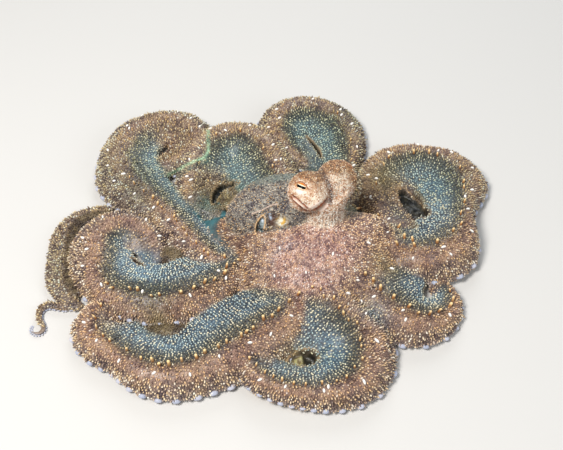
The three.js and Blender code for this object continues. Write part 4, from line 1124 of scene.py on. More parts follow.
def coat_material():
    k = Nodes("papillae")
    c = markings(k, False)
    kind = k.attr("kind")       # 0 granule or spike, 1 orange finger, 2 white oval
    hgt = k.attr("hgt")
    # painted shade: papillae in the sunk slits and holes are darker brown
    c = k.by(k.out["pit"], 0.75, c, lin(96, 74, 48))
    orange = k.mix(k.attr("rnd"), lin(208, 142, 78), lin(232, 188, 128))
    c = k.mix(k.step(kind, 0.4, 0.6), c, k.mix(k.step(hgt, 0.35, 0.95), orange, lin(252, 218, 158)))
    c = k.mix(k.step(kind, 1.4, 1.6), c, lin(252, 249, 242))
    shade = k.step(hgt, -0.15, 0.75)
    c = k.mix(shade, k.mix(1.0, c, lin(138, 120, 114), "MULTIPLY"), c)
    fine = k.noise(2600, 2, 0.6)
    c = k.by(k.step(fine, 0.5, 0.75), 0.2, c, lin(250, 240, 224))
    k.t.links.new(c, k.bsdf.inputs["Base Color"])
    k.bsdf.inputs["Roughness"].default_value = 0.42
    k.bsdf.inputs["IOR"].default_value = 1.4
    k.t.links.new(k.bump(fine, 0.00012, 0.5), k.bsdf.inputs["Normal"])
    return k.mat


me.materials.append(skin_material())
flesh = [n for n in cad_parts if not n.startswith("eye_")]
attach(skin, "root")
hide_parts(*flesh)

# ---- where the papillae stand ---------------------------------------------------------------------
from mathutils.bvhtree import BVHTree
tree = BVHTree.FromPolygons([tuple(p) for p in X], [tuple(t) for t in TRI], all_triangles=True)
AREA = np.linalg.norm(np.cross(X[TRI[:, 1]] - X[TRI[:, 0]], X[TRI[:, 2]] - X[TRI[:, 0]]), axis=1) / 2
print("skin area mm2", AREA.sum(), "triangles", len(TRI))
VREG = reg

GRID = {}
CELL = 1.3


def free(p, r):
    """True if nothing stands within r (mm) of p."""
    i, j, l = int(p[0] // CELL), int(p[1] // CELL), int(p[2] // CELL)
    reach_n = 1 if r <= CELL else 2
    for a in range(i - reach_n, i + reach_n + 1):
        for b in range(j - reach_n, j + reach_n + 1):
            for c in range(l - reach_n, l + reach_n + 1):
                for q in GRID.get((a, b, c), ()):
                    d = (q[0] - p[0]) ** 2 + (q[1] - p[1]) ** 2 + (q[2] - p[2]) ** 2
                    m = max(r, q[3]) if q[3] > 1.3 else r
                    if d < m * m:
                        return False
    return True


def take(p, own):
    GRID.setdefault((int(p[0] // CELL), int(p[1] // CELL), int(p[2] // CELL)), []).append((p[0], p[1], p[2], own))


ROOTS = []     # (point, triangle, kind, long axis, radius, height, stretch, lean)


def snap(p, want, far_mm=1.6):
    hit = tree.find_nearest(Vector(p), far_mm)
    if hit[0] is None:
        return None
    q = np.array(hit[0])
    t = TRI[hit[2]]
    if want is not None and VREG[t[0]] != want and VREG[t[1]] != want:
        return None
    return q, hit[2]


def bary(q, t):
    a, b, c = X[TRI[t, 0]], X[TRI[t, 1]], X[TRI[t, 2]]
    n = np.cross(b - a, c - a)
    d = n @ n + 1e-12
    u = np.cross(c - b, q - b) @ n / d
    v = np.cross(a - c, q - c) @ n / d
    return np.clip(np.array([u, v, 1 - u - v]), 0, 1)


def row_at(name, s0, s1, gap, v, jitter_s, jitter_v, start=0.5):
    c = LINES[name]
    out = []
    s = s0 + gap * start
    while s < s1:
        i = int(np.clip(np.searchsorted(c["s"], s + rng.uniform(-1, 1) * jitter_s), 1, len(c["s"]) - 2))
        vv_ = v + rng.uniform(-1, 1) * jitter_v
        wi, wo, crest, lip, rim = arm_dims(c, i, INSET)
        z = float(arm_top(vv_, crest, lip, rim))
        out.append((arm_point(c, i, vv_, z), i))
        s += gap
    return out


def across(c, i):
    return np.array([math.sin(c["h"][i]) * c["hand"], -math.cos(c["h"][i]) * c["hand"], 0.0])


n_orange = n_white = 0
# spacing, share of the arm they reach, share where they are full size, that size
FINGERS = {"r1": (4.4, 0.9, 1.0, 0.62), "r2": (4.9, 0.92, 0.55, 1.0), "r3": (5.0, 0.44, 0.4, 1.0), "r4": (5.5, 0.4, 0.3, 0.75),
           "l4": (14.0, 0.5, 0.0, 0.7), "l3": (14.0, 0.5, 0.0, 0.7), "l2": (8.0, 0.9, 0.2, 1.0), "l1": (4.6, 0.9, 0.8, 1.0)}
for name, c in LINES.items():
    L = c["s"][-1]
    first = c["s"][int(np.argmax(np.hypot(c["x"] - CROWN[0], c["y"] - CROWN[1]) > 30))]
    end = L * BLUE_END[name][1]
    gap_, stop, big_to, size = FINGERS[name]
    for p, i in row_at(name, first, min(stop * L, end), gap_, 0.42 if name == "r3" else 0.21, 0.35 * gap_, 0.07):
        h = snap(p, REGION[name])
        if h is None or not free(h[0], 2.4):
            continue
        take(h[0], 1.35)
        small = size * (1.0 if c["s"][i] < big_to * L else 0.68)
        r = rng.uniform(0.64, 0.92) * (small + 0.5) / 1.5
        ROOTS.append((h[0], h[1], 1, across(c, i), r, rng.uniform(2.7, 3.8) * (small + 0.4) / 1.4, 1.0, rng.uniform(0.0, 0.35)))
        n_orange += 1
    for v0, gap, st in ((0.52, 12.5, 0.3), (0.3, 34.0, 0.8)):
        for p, i in row_at(name, first, L - 4, gap, v0, 2.5, 0.10, st):
            h = snap(p, REGION[name])
            if h is None or not free(h[0], 2.4):
                continue
            take(h[0], 1.5)
            turn = rng.uniform(-0.7, 0.7)
            d = across(c, i)
            d = np.array([d[0] * math.cos(turn) - d[1] * math.sin(turn), d[0] * math.sin(turn) + d[1] * math.cos(turn), 0])
            ROOTS.append((h[0], h[1], 2, d, rng.uniform(0.5, 0.66), rng.uniform(0.8, 1.1), rng.uniform(1.7, 2.3), 0.0))
            n_white += 1
# a few fingers along the right shoulder of the mound, at places of the front picture
for u_, v_ in ((361, 208), (379, 215.5), (389, 221.5), (398, 228), (404.5, 238.5), (413, 241)):
    ray = np.array([u_ - 281.5, 0, 0]) + UPV * (225.0 - v_) - TOV * 938.33
    hit = tree.ray_cast(Vector(TOV * 488.0), Vector(unit(ray)))
    if hit[0] is not None and free(np.array(hit[0]), 2.0):
        take(np.array(hit[0]), 1.35)
        ROOTS.append((np.array(hit[0]), hit[2], 1, np.array([1.0, 0, 0]), rng.uniform(0.6, 0.8), rng.uniform(2.6, 3.6), 1.0, 0.1))
        n_orange += 1
# white marks scattered over the crown
for a, r in ((-75, 18), (-108, 27), (-50, 31), (-20, 24), (-135, 34), (-92, 38), (-150, 24), (5, 33), (-64, 42), (-28, 38)):
    p = np.array([CROWN[0] + r * math.cos(a * RAD), CROWN[1] + r * math.sin(a * RAD), WEB_EDGE + (CROWN_TOP - WEB_EDGE) * (1 - (r / 50) ** 2) ** 1.25])
    h = snap(p, None, 6)
    if h is not None and free(h[0], 2.4):
        take(h[0], 1.5)
        ROOTS.append((h[0], h[1], 2, np.array([math.cos(a * RAD + 0.3), math.sin(a * RAD + 0.3), 0]), rng.uniform(0.45, 0.62), 0.9, 2.0, 0.0))
        n_white += 1

# the dots of the blue hollows, in rows across each arm
ROW = 1.55
n_dots = 0
for name, c in LINES.items():
    L = c["s"][-1]
    first = c["s"][int(np.argmax(np.hypot(c["x"] - CROWN[0], c["y"] - CROWN[1]) > 32))]
    rowno = 0
    s = (math.ceil(first / ROW) + 0.25) * ROW
    lo, hi = BLUE_END[name]
    while s < L - 1:
        i = int(np.clip(np.searchsorted(c["s"], s), 1, len(c["s"]) - 2))
        f = s - c["s"][i - 1]
        wi, wo, crest, lip, rim = arm_dims(c, i, INSET)
        r0 = math.hypot(c["x"][i] - CROWN[0], c["y"][i] - CROWN[1])
        vs = np.arange((0.34 if name == "r3" and s < 60 else 0.14) * wo, -0.97 * wi, -1.42) - rng.uniform(0, 0.6)
        for o in vs:
            v = (o + rng.uniform(-0.42, 0.42)) / (wi if o < 0 else wo)
            if v < -0.985 or rng.random() > float(sm(28, 42, r0)) * (1 - 0.75 * float(sm(lo * L, hi * L, s))):
                continue
            z = float(arm_top(v, crest, lip, rim))
            p = arm_point(c, i, v, z)
            d = np.array([math.cos(c["h"][i]), math.sin(c["h"][i]), 0])
            p = p + d * (f - (c["s"][i] - c["s"][i - 1]) + rng.uniform(-0.34, 0.34))
            h = snap(p, REGION[name])
            if h is None or PIT[TRI[h[1], 0]] > 0.2 or not free(h[0], 1.02):
                continue
            take(h[0], 0.95)
            edge = float(sm(-0.2, 0.15, v))        # taller and sharper towards the brown
            ROOTS.append((h[0], h[1], 8 if edge > 0.5 else 3, across(c, i), rng.uniform(0.31, 0.45) - 0.02 * edge, rng.uniform(0.3, 0.5) + 0.6 * edge * rng.uniform(0.7, 1.3),
                          rng.uniform(1.1, 1.9), 0.2 + 0.35 * edge))
            n_dots += 1
        s += ROW
        rowno += 1

# spikes and granules everywhere else
cand_n = 420000
ok_tri = (X[TRI][:, :, 2].mean(1) > 1.9)
ZX = dict(Z, patch=np.maximum(np.maximum(BLUE_PATCH, FILL), (reg == REGION["r3"]) * sm(78, 84, S)))
zt = {k: ZX[k][TRI].mean(1) for k in ("blue", "teal", "under", "funnel", "patch", "shade_web", "cave", "lid", "head", "mantle", "rim", "white", "pads", "crease", "outer", "dark", "pink", "pit", "fold", "siplip", "spot", "neck")}
wgt = AREA * ok_tri * (zt["teal"] < 0.4) * (zt["funnel"] < 0.25) * (zt["pit"] < 0.3) * (zt["lid"] < 0.35) * (zt["cave"] < 0.75) * (zt["under"] < 0.5) * (zt["fold"] < 0.4) * (zt["siplip"] < 0.4)
wgt = wgt * (1 - 0.93 * np.clip(zt["blue"] * 1.6 - 0.6, 0, 1) * (zt["patch"] < 0.12)) * (1 + 1.2 * (zt["head"] > 0.5) + 0.6 * (zt["pink"] > 0.3))
cum = np.cumsum(wgt)
pickt = np.searchsorted(cum, rng.random(cand_n) * cum[-1])
uv = rng.random((cand_n, 2))
flip = uv.sum(1) > 1
uv[flip] = 1 - uv[flip]
PP = X[TRI[pickt, 0]] * (1 - uv.sum(1))[:, None] + X[TRI[pickt, 1]] * uv[:, :1] + X[TRI[pickt, 2]] * uv[:, 1:]
zc = {k: v[pickt] for k, v in zt.items()}
rcp = np.hypot(PP[:, 0] - CROWN[0], PP[:, 1] - CROWN[1])
on_mound = np.clip(1 - sm(30, 46, rcp), 0, 1) * (zc["head"] < 0.5) * (zc["mantle"] < 0.5)
rr = 1.08 - 0.24 * on_mound - 0.45 * (zc["head"] > 0.5) - 0.08 * (zc["mantle"] > 0.5) + 0.2 * (zc["patch"] > 0.5)
q1, q2, q3 = rng.random(cand_n), rng.random(cand_n), rng.random(cand_n)
n_gran = 0
for j in range(cand_n):
    if zc["head"][j] > 0.5 and zc["pads"][j] * 0.8 + zc["white"][j] + zc["crease"][j] * 1.6 > 0.38 or zc["spot"][j] > 0.3:
        continue
    p = PP[j]
    if not free(p, rr[j]):
        continue
    take(p, 0.8)
    t = pickt[j]
    a, b, d = q1[j], q2[j], q3[j]
    if zc["head"][j] > 0.5:
        nk = zc["neck"][j]
        ROOTS.append((p, t, 5, None, 0.2 + 0.12 * a, 0.17 + 0.16 * b + 0.25 * nk * b, 1.0 + 0.4 * d + 0.8 * nk, 0.0))
    elif zc["mantle"][j] > 0.5:
        tall = 0.32 + 0.28 * b + (0.8 * d if a > 0.9 else 0)
        ROOTS.append((p, t, 4, None, 0.22 + 0.12 * a, tall, 1.0 + 1.3 * b, 0.35))
    elif on_mound[j] > 0.5:
        ROOTS.append((p, t, 7, None, 0.33 + 0.14 * a, 0.35 + 0.35 * b + (0.5 * d if a > 0.93 else 0), 1.0 + 0.6 * d, 0.3))
    elif zc["patch"][j] > 0.3 and zc["blue"][j] > 0.4:
        ROOTS.append((p, t, 3, None, 0.27 + 0.12 * b, 0.35 + 0.2 * d, 1.1 + 0.5 * b, 0.2))
    elif zc["outer"][j] > 0.55 and a < 0.42:
        ROOTS.append((p, t, 6, None, 0.34 + 0.17 * b, 0.34 + 0.3 * d, 1.0 + 0.4 * b, 0.15))
    else:
        tall = 0.55 + 0.6 * b + (0.7 * d if a > 0.9 else 0)
        ROOTS.append((p, t, 0, None, 0.35 + 0.16 * a, tall, 1.0 + 0.7 * d, 0.55))
    n_gran += 1
print("papillae: orange", n_orange, "white", n_white, "dots", n_dots, "granules", n_gran)

# ---- the papillae as one solid mesh each ----------------------------------------------------------
RP = np.array([r[0] for r in ROOTS])
RT = np.array([r[1] for r in ROOTS])
RK = np.array([r[2] for r in ROOTS])
RR = np.array([r[4] for r in ROOTS])
RH = np.array([r[5] for r in ROOTS])
RS = np.array([r[6] for r in ROOTS])
LEAN = np.array([r[7] for r in ROOTS])
RN = unit(N[TRI[RT]].mean(1))
radial = np.stack([RP[:, 0] - CROWN[0], RP[:, 1] - CROWN[1], np.zeros(len(RP))], -1)
# the long axis of a granule lies across its arm, or runs down from the crown
near_reg = VREG[TRI[RT, 0]]
RD = unit(radial)
for name, c in LINES.items():
    m = near_reg == REGION[name]
    i = np.clip(np.searchsorted(c["s"], S[TRI[RT[m], 0]]), 0, len(c["s"]) - 1)
    RD[m] = np.stack([np.sin(c["h"][i]) * c["hand"], -np.cos(c["h"][i]) * c["hand"], 0 * c["h"][i]], -1)
for j, r in enumerate(ROOTS):
    if r[3] is not None:
        RD[j] = r[3]
turn = rng.normal(0, 0.4, len(RP)) * (RK != 1)
T1 = unit(RD - RN * (RD * RN).sum(1, keepdims=True))
T2 = np.cross(RN, T1)
T1, T2 = T1 * np.cos(turn)[:, None] + T2 * np.sin(turn)[:, None], T2 * np.cos(turn)[:, None] - T1 * np.sin(turn)[:, None]
# a papilla leans the way its arm's outer side falls, each a little its own way
RL = (T1 + T2 * rng.normal(0, 0.35, len(RP))[:, None] + RN * 0) * (LEAN * rng.uniform(0.4, 1.5, len(RP)))[:, None]
RND = rng.random(len(RP))
RND = np.where(RK == 6, 0.4 + 0.6 * RND, RND)


def atlas():
    """Place of each root on an unwrap of the skin: each arm a strip, the crown a disc, mantle and head round their axes."""
    U = np.zeros((len(RP), 2))
    sv = S[TRI[RT, 0]], V[TRI[RT, 0]]
    for row, name in enumerate(LINES):
        m = near_reg == REGION[name]
        U[m, 0] = 0.01 + 0.97 * np.clip((sv[0][m] + 48) / 218, 0, 1)
        U[m, 1] = 0.01 + 0.085 * row + 0.08 * (np.clip(sv[1][m], -1.1, 1.1) / 2.2 + 0.5)
    for col, name in enumerate(END_LINES):
        m = near_reg == REGION[name]
        U[m, 0] = 0.01 + 0.19 * col + 0.18 * np.clip(sv[0][m] / 84, 0, 1)
        U[m, 1] = 0.70 + 0.025 * (np.clip(sv[1][m], -1.1, 1.1) / 2.2 + 0.5)
    m = (near_reg == 0) | (near_reg == R_SHADE_WEB)
    U[m, 0] = 0.13 + radial[m, 0] * 0.0018
    U[m, 1] = 0.86 + radial[m, 1] * 0.0018
    for k, (x0, at, ax) in enumerate(((0.28, MANTLE["tip"], unit(MANTLE["neck"] - MANTLE["tip"])), (0.64, HEAD_AT, ACROSS))):
        m = np.isin(near_reg, (R_MANTLE, R_SIPHON) if k == 0 else (R_HEAD,))
        d = RP[m] - at
        along = d @ ax
        side = unit(np.cross(ax, [0, 0, 1.0]))
        q = np.arctan2(d @ np.cross(side, ax), d @ side)
        lo, hi = (along.min(), along.max()) if m.any() else (0, 1)
        U[m, 0] = x0 + 0.33 * (along - lo) / max(1e-6, hi - lo)
        U[m, 1] = 0.745 + 0.235 * (q / (2 * math.pi) + 0.5)
    return np.clip(U, 0.004, 0.996)


UVC = atlas()


def build(name, ids, sides, rings, cap):
    """rings: list of (radius share, height share); the last ring closes on a tip."""
    n = len(ids)
    ang = np.arange(sides) / sides * 2 * math.pi
    ca, sa = np.cos(ang), np.sin(ang)
    P, H, UVr = [], [], []
    for k, (fr, fh) in enumerate(rings):
        base = RP[ids] + RN[ids] * (RH[ids] * fh)[:, None] + RL[ids] * (RH[ids] * max(fh, 0) ** 1.4)[:, None]
        ring = base[:, None] + T1[ids][:, None] * (ca[None, :, None] * (RR[ids] * RS[ids] * fr)[:, None, None]) + T2[ids][:, None] * (sa[None, :, None] * (RR[ids] * fr)[:, None, None])
        P.append(ring)
        H.append(np.full((n, sides), max(fh, 0)))
        share = 1 - k / len(rings)
        UVr.append(np.stack([ca, sa], -1)[None] * 0.00115 * share + np.zeros((n, 1, 1)))
    tipz = rings[-1][1] + cap
    tip = RP[ids] + RN[ids] * (RH[ids] * tipz)[:, None] + RL[ids] * (RH[ids] * tipz**1.4)[:, None]
    m = len(rings) * sides + 1
    allP = np.concatenate([np.concatenate(P, 1), tip[:, None]], 1)
    allH = np.concatenate([np.concatenate(H, 1), np.ones((n, 1))], 1)
    allU = np.concatenate([np.concatenate(UVr, 1), np.zeros((n, 1, 2))], 1) + UVC[ids][:, None] - np.array([0.0003, 0])
    j = np.arange(sides)
    j2 = (j + 1) % sides
    quads = np.concatenate([np.stack([k * sides + j, k * sides + j2, (k + 1) * sides + j2, (k + 1) * sides + j], -1) for k in range(len(rings) - 1)])
    last = (len(rings) - 1) * sides
    tris = np.stack([last + j, last + j2, np.full(sides, m - 1)], -1)
    foot = j[::-1]
    off = (np.arange(n) * m)[:, None, None]
    Q = (quads[None] + off).reshape(-1, 4)
    T = (tris[None] + off).reshape(-1, 3)
    F = (foot[None, None] + off).reshape(-1, sides)
    return allP.reshape(-1, 3), allH.ravel(), allU.reshape(-1, 2), Q, T, F, m


def coat_piece(name, groups, material):
    """groups: list of (ids, sides, rings, cap)."""
    Ps, Hs, Us, loops, counts, owner, luv = [], [], [], [], [], [], []
    base = 0
    for ids, sides, rings, cap in groups:
        if not len(ids):
            continue
        P, H, U, Q, T, F, m = build(name, ids, sides, rings, cap)
        for f in (Q, T):
            loops.append((f + base).ravel())
            counts.append(np.full(len(f), f.shape[1]))
            luv.append(U[f].reshape(-1, 2))
        # the buried foot of each papilla has its own small spot beside the rest of its patch
        loops.append((F + base).ravel())
        counts.append(np.full(len(F), sides))
        ang = (np.arange(sides) / sides * 2 * math.pi)[::-1]
        spot = np.stack([np.cos(ang), np.sin(ang)], -1) * 0.00028
        luv.append((UVC[ids][:, None] + np.array([0.00118, 0]) + spot[None]).reshape(-1, 2))
        Ps.append(P); Hs.append(H)
        owner.append(np.repeat(ids, m))
        base += len(P)
    P, H, O = np.vstack(Ps), np.concatenate(Hs), np.concatenate(owner)
    L, C, U = np.concatenate(loops).astype(np.int32), np.concatenate(counts).astype(np.int32), np.vstack(luv)
    mesh = bpy.data.meshes.new(name)
    mesh.vertices.add(len(P))
    mesh.vertices.foreach_set("co", ((P - ORIGIN) * 0.001).astype(np.float32).ravel())
    mesh.loops.add(len(L))
    mesh.loops.foreach_set("vertex_index", L)
    mesh.polygons.add(len(C))
    mesh.polygons.foreach_set("loop_start", np.concatenate([[0], np.cumsum(C)[:-1]]).astype(np.int32))
    mesh.polygons.foreach_set("use_smooth", np.ones(len(C), bool))
    mesh.update(calc_edges=True)
    uvl = mesh.uv_layers.new(name="OFBake")
    uvl.data.foreach_set("uv", np.clip(U, 0.0005, 0.9995).astype(np.float32).ravel())
    root_v = TRI[RT[O], 0]
    put_vectors(mesh, {k: Z[k][root_v] for k in Z})
    for key, val in (("rnd", RND[O]), ("hgt", H), ("kind", np.select([RK[O] == 1, RK[O] == 2], [1.0, 2.0], 0.0))):
        a = mesh.attributes.new(key, "FLOAT", "POINT")
        a.data.foreach_set("value", val.astype(np.float32))
    mesh.materials.append(material)
    ob = bpy.data.objects.new(name, mesh)
    bpy.context.scene.collection.objects.link(ob)
    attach(ob, "root")
    tri_n = int((C - 2).sum())
    print(name, "triangles", tri_n)
    return ob


COAT = coat_material()
LOW = [(1.0, -0.45), (0.92, 0.35), (0.55, 0.86)]
DOT = [(1.05, -0.6), (0.95, 0.35), (0.6, 0.85)]
FINGER = [(1.15, -0.15), (0.98, 0.12), (0.8, 0.4), (0.84, 0.66), (0.76, 0.85), (0.44, 0.97)]
OVAL = [(1.0, -0.3), (1.0, 0.35), (0.78, 0.75), (0.42, 0.96)]
SPIKE = [(1.15, -0.3), (0.82, 0.32), (0.45, 0.76)]
N_PIECES = 8
share = rng.integers(0, N_PIECES, len(RP))
for g in range(N_PIECES):
    sel = lambda *ks: np.where((share == g) & np.isin(RK, ks))[0]
    coat_piece("papillae_%d" % (g + 1), [(sel(5), 8, LOW, 0.14), (sel(6, 7), 6, LOW, 0.14), (sel(3), 7, DOT, 0.15), (sel(0, 4, 8), 6, SPIKE, 0.24), (sel(1), 10, FINGER, 0.03), (sel(2), 12, OVAL, 0.04)], COAT)

# ---- suckers and mouth ------------------------------------------------------------------------------
CUP = [(0.0, -0.52), (0.62, -0.50), (0.86, -0.28), (0.95, 0.02), (1.0, 0.26), (0.93, 0.40), (0.76, 0.42), (0.62, 0.28), (0.50, 0.02), (0.30, -0.12), (0.0, -0.16)]


def cup_mesh(at, ax, radius, around=14, profile=CUP):
    """A sucker: closed lathe about ax, the axis it opens along; at is its middle."""
    ax = unit(ax)
    side = unit(np.cross(ax, [0.31, 0.2, 0.93]))
    up = np.cross(ax, side)
    q = np.arange(around) / around * 2 * math.pi
    rings = [at + ax * (radius * h) + radius * r * (np.cos(q)[:, None] * side + np.sin(q)[:, None] * up) for r, h in profile[1:-1]]
    v = np.vstack([(at + ax * radius * profile[0][1])[None], *rings, (at + ax * radius * profile[-1][1])[None]])
    j = np.arange(around)
    k = (j + 1) % around
    tris = [np.stack([np.zeros(around, int), 1 + k, 1 + j], -1)]
    quads = []
    for r in range(len(rings) - 1):
        a, b = 1 + r * around, 1 + (r + 1) * around
        quads.append(np.stack([a + j, a + k, b + k, b + j], -1))
    last = 1 + (len(rings) - 1) * around
    tris.append(np.stack([last + j, last + k, np.full(around, len(v) - 1)], -1))
    # patch of the unwrap: distance along the profile is the distance from its middle
    depth = np.concatenate([[0], np.repeat(np.arange(1, len(profile) - 1) / (len(profile) - 1), around), [1]])
    turn = np.concatenate([[0], np.tile(q, len(rings)), [0]])
    patch = np.stack([np.cos(turn), np.sin(turn)], -1) * (1 - depth)[:, None] * 0.98
    patch[0] = patch[1:1 + around].mean(0)
    cup = np.concatenate([[0], np.repeat([h for _, h in profile[1:-1]], around), [profile[-1][1]]])
    inner = np.concatenate([[0], np.repeat([max(0.0, (i - 5) / 5) for i in range(1, len(profile) - 1)], around), [1]])
    vol_flip = 1
    f = np.vstack([np.vstack(quads)[:, [0, 1, 2]], np.vstack(quads)[:, [0, 2, 3]], np.vstack(tris)])
    if np.einsum("ij,ij->i", v[f[:, 0]], np.cross(v[f[:, 1]], v[f[:, 2]])).sum() - 0 < 0:
        vol_flip = -1
    qd, tr = np.vstack(quads), np.vstack(tris)
    return v, (qd[:, ::-1] if vol_flip < 0 else qd), (tr[:, ::-1] if vol_flip < 0 else tr), patch, inner


cups = []       # (vertices, quads, tris, patch, inner, place on the unwrap, size of the patch)
for row, (name, c) in enumerate(LINES.items()):
    L = c["s"][-1]
    s, n = c["s"][0] + 6.0, 0
    while s < L - 0.5:
        i = int(np.clip(np.searchsorted(c["s"], s), 1, len(c["s"]) - 2))
        wi, wo, crest, lip, rim = arm_dims(c, i, INSET)
        R = float(np.clip(0.085 * c["w"][i] + 0.55, 0.9, 2.35)) * (0.75 + 0.25 * float(sm(-30, 10, s)))
        out = across(c, i)
        if (s < 4 and c["lift"][i] > 0.3) or (s < 14 and name in ("l4", "l3")):        # no sucker shows where the arm is raised at its root
            s += 3.2 * R
            continue
        along_ = np.array([math.cos(c["h"][i]), math.sin(c["h"][i]), 0])
        here = np.array([c["x"][i], c["y"][i], 0.0])
        # outer row: under the rim, tilted outwards so that its edge shows
        tilt = 32 * RAD
        z = max(0.12 + R * (0.42 * math.cos(tilt) + math.sin(tilt)), 1.2) + 0.8 * c["lift"][i]
        p = here + out * (wo + 0.3 - 0.86 * R) + np.array([0, 0, z])
        cups.append((*cup_mesh(p, out * math.sin(tilt) - np.array([0, 0, math.cos(tilt)]), R), (s, row, 0.8), 0.0042))
        # inner row, between them, opens straight down
        R2 = R * 0.95
        half = here + along_ * 1.25 * R + out * (wo - 2.95 * R)
        if c["lift"][i] < 1.5:
            cups.append((*cup_mesh(half + np.array([0, 0, 0.12 + 0.42 * R2]), np.array([0, 0, -1.0]), R2), (s + 1.2 * R, row, 0.25), 0.0042))
        s += SUCKER_GAP * (R / 2.25) if s > -5 else 3.2 * R
        n += 1
for col, (name, c) in enumerate(END_LINES.items()):
    if name in ("r1b", "l4b"):      # rolled up inside another coil, no sucker shows
        continue
    s, n = 1.5, 0
    while s < c["s"][-1] - 1.0:
        i = int(np.clip(np.searchsorted(c["s"], s), 1, len(c["s"]) - 2))
        w = c["w"][i]
        R = float(np.clip(0.32 * w, 0.45, 1.3))
        side = across(c, i)
        for sg in (1, -0.1):
            tilt = (28 if sg > 0 else 0) * RAD
            z = 0.12 + R * (0.42 * math.cos(tilt) + math.sin(tilt))
            p = np.array([c["x"][i], c["y"][i], z]) + side * sg * (w - 0.1 - 0.8 * R)
            cups.append((*cup_mesh(p, side * math.sin(tilt) - np.array([0, 0, math.cos(tilt)]), R, 10), (s * 2, 8 + col * 0.2, 0.5 + 0.25 * sg), 0.002))
        s += 2.2 * R
        n += 1
# the mouth: a puckered ring of lips with the dark tips of the beak in it
MOUTH = [(0.0, -0.3), (0.7, -0.3), (0.98, -0.05), (1.0, 0.16), (0.86, 0.22), (0.72, 0.14), (0.64, 0.2), (0.5, 0.16), (0.36, 0.02), (0.2, -0.06), (0.0, -0.1)]
cups.append((*cup_mesh(np.array([CROWN[0], CROWN[1], 1.6]), np.array([0, 0, -1.0]), 6.0, 40, MOUTH), (-40, 8.9, 0.5), 0.012))

Ps, Qs, Ts, Us, Ins, base = [], [], [], [], [], 0
Rnd = []
for v, q, t, patch, inner, (s, row, frac), size in cups:
    centre = np.array([0.012 + 0.97 * min(1, max(0, (s + 50) / 222)), 0.02 + 0.105 * (row + frac * 0.8)])
    Ps.append(v); Qs.append(q + base); Ts.append(t + base)
    Us.append(np.clip(centre + patch * size, 0.001, 0.999)); Ins.append(inner)
    Rnd.append(np.full(len(v), rng.random()))
    base += len(v)
P, U, Q, T = np.vstack(Ps), np.vstack(Us), np.vstack(Qs), np.vstack(Ts)
print("suckers", len(cups), "triangles", 2 * len(Q) + len(T), "lowest", P[:, 2].min())
suckers = to_mesh("suckers", P, [Q, T])
sm_me = suckers.data
uvl = sm_me.uv_layers.new(name="OFBake")
li = np.zeros(len(sm_me.loops), np.int32)
sm_me.loops.foreach_get("vertex_index", li)
uvl.data.foreach_set("uv", U[li].astype(np.float32).ravel())
for key, val in (("inner", np.concatenate(Ins)), ("rnd", np.concatenate(Rnd))):
    a = sm_me.attributes.new(key, "FLOAT", "POINT")
    a.data.foreach_set("value", val.astype(np.float32))


def sucker_material():
    k = Nodes("sucker", False)
    base = k.mix(k.attr("rnd"), lin(166, 174, 194), lin(200, 200, 212))
    c = k.mix(k.step(k.noise(420, 2, 0.5), 0.35, 0.65), base, k.mix(0.35, base, lin(168, 172, 190)))
    c = k.mix(k.step(k.attr("inner"), 0.25, 0.9), c, lin(168, 132, 124))
    k.t.links.new(c, k.bsdf.inputs["Base Color"])
    k.bsdf.inputs["Roughness"].default_value = 0.4
    k.bsdf.inputs["IOR"].default_value = 1.4
    k.t.links.new(k.bump(k.noise(1800, 2, 0.6), 0.0001, 0.4), k.bsdf.inputs["Normal"])
    return k.mat


sm_me.materials.append(sucker_material())
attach(suckers, "root")

# the two tips of the beak
beak = []
for sg, tall in ((1, 1.0), (-1, 0.8)):
    n = 12
    rings = []
    for u in np.linspace(0, 1, 7):
        w = 1.7 * (1 - u**1.6) + 0.06
        th = 0.75 * (1 - u) + 0.06
        cx, cz = sg * (1.25 - 1.05 * u**1.3), 1.9 - 1.25 * tall * u
        q = np.arange(n) / n * 2 * math.pi
        rings.append(np.stack([CROWN[0] + cx + th * np.cos(q), CROWN[1] + w * np.sin(q), np.full(n, cz)], -1))
    beak.append(oriented(grid_mesh(np.array(rings))))
bv, bq, bt = merged(beak)
beak_ob = to_mesh("beak", bv, [bq, bt])
k = Nodes("beak", False)
k.t.links.new(k.mix(k.step(k.noise(300, 2, 0.5), 0.3, 0.7), lin(38, 24, 18), lin(74, 48, 34)), k.bsdf.inputs["Base Color"])
k.bsdf.inputs["Roughness"].default_value = 0.25
beak_ob.data.materials.append(k.mat)
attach(beak_ob, "root")

# ---- eyes ---------------------------------------------------------------------------------------------
EYEBALL, EYE_OUT = 3.3, 6.85


def eye_material(name):
    k = Nodes(name, False)
    a, h = k.attr("eye_a"), k.attr("eye_h")
    streak = k.noise(900, 3, 0.6)
    # a bar-shaped pupil, wider at its ends, held level
    ends = k.math("MULTIPLY", k.math("MULTIPLY", a, a), 0.035)
    half = k.math("ADD", 0.56, ends)
    d = k.math("SUBTRACT", k.math("ABSOLUTE", k.math("ADD", h, 0.05)), half)
    along_ = k.math("SUBTRACT", k.math("ABSOLUTE", a), 2.45)
    edge = k.math("MAXIMUM", d, k.math("MULTIPLY", along_, 0.8))
    iris = k.mix(k.step(streak, 0.35, 0.65), lin(214, 178, 116), lin(248, 234, 204))
    iris = k.mix(k.step(edge, 0.5, 0.15), iris, lin(250, 240, 214))
    iris = k.mix(k.step(edge, 0.42, 0.62), iris, k.mix(k.step(streak, 0.4, 0.62), lin(206, 104, 30), lin(240, 158, 66)))
    c = k.mix(k.step(edge, 0.06, -0.06), iris, lin(8, 9, 14))
    k.t.links.new(c, k.bsdf.inputs["Base Color"])
    k.bsdf.inputs["Roughness"].default_value = 0.3
    k.bsdf.inputs["IOR"].default_value = 1.16
    return k.mat


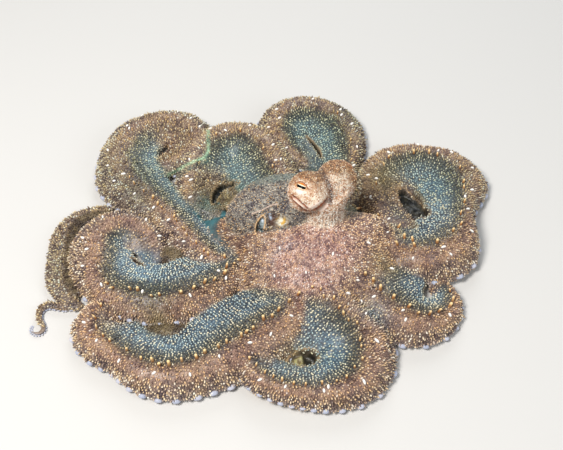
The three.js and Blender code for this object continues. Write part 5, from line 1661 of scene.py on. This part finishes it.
for side, node in ((-1, "eye_right"), (1, "eye_left")):
    n, e1, e2 = eye_frame(side)
    c0 = bulge_at(side) + n * EYE_OUT
    rows, around = 36, 56
    u = np.linspace(0.02, math.pi - 0.02, rows)
    q = np.arange(around) / around * 2 * math.pi
    P = c0 + EYEBALL * (np.cos(u)[:, None, None] * n + np.sin(u)[:, None, None] * (np.cos(q)[None, :, None] * e1 + np.sin(q)[None, :, None] * e2))
    v, qd, tr = oriented(grid_mesh(P))
    ob = to_mesh(node + "_ball", v, [qd, tr])
    d = v - c0
    for key, val in (("eye_a", d @ e1), ("eye_h", d @ e2)):
        a = ob.data.attributes.new(key, "FLOAT", "POINT")
        a.data.foreach_set("value", val.astype(np.float32))
    ob.data.materials.append(eye_material(node))
    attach(ob, "root")
    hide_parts(node)

# ---- camera, light, floor --------------------------------------------------------------------
EL = 48 * RAD
cam = bpy.data.cameras.new("camera")
cam.lens, cam.sensor_width, cam.sensor_fit = 60.0, 36.0, "HORIZONTAL"
cam.clip_start, cam.clip_end = 0.01, 20
cam_ob = bpy.data.objects.new("camera", cam)
bpy.context.scene.collection.objects.link(cam_ob)
target = np.array([0.00486, 0.008675, 0.0])
cam_ob.location = target - np.array([0, math.cos(EL), -math.sin(EL)]) * 0.488
cam_ob.rotation_euler = (math.pi / 2 - EL, 0, 0)
bpy.context.scene.camera = cam_ob


def lamp(name, at, size, power, colour, aim=(0, 0, 0.01)):
    li = bpy.data.lights.new(name, "AREA")
    li.shape, li.size, li.energy, li.color = "DISK", size, power, colour
    ob = bpy.data.objects.new(name, li)
    ob.location = at
    ob.rotation_euler = (Vector(aim) - Vector(at)).to_track_quat("-Z", "Y").to_euler()
    bpy.context.scene.collection.objects.link(ob)


lamp("key", (-0.35, -0.30, 0.75), 0.28, 8.5, (1.0, 0.97, 0.93))
lamp("fill", (0.70, -0.30, 0.45), 0.6, 2.2, (0.93, 0.97, 1.0))
lamp("back", (0.10, 0.75, 0.55), 0.5, 3.0, (0.95, 0.98, 1.0))
world = bpy.data.worlds.new("room")
world.use_nodes = True
world.node_tree.nodes["Background"].inputs[0].default_value = (0.86, 0.9, 0.95, 1)
world.node_tree.nodes["Background"].inputs[1].default_value = 0.30
bpy.context.scene.world = world
bpy.context.scene.view_settings.view_transform = "Standard"

fm = bpy.data.meshes.new("floor")
fm.from_pydata([(-3, -3, 0), (3, -3, 0), (3, 3, 0), (-3, 3, 0)], [], [(0, 1, 2, 3)])
floor = bpy.data.objects.new("floor", fm)
bpy.context.scene.collection.objects.link(floor)
mat = bpy.data.materials.new("floor")
mat.use_nodes = True
mat.node_tree.nodes["Principled BSDF"].inputs["Base Color"].default_value = (0.62, 0.61, 0.59, 1)
mat.node_tree.nodes["Principled BSDF"].inputs["Roughness"].default_value = 0.85
fm.materials.append(mat)
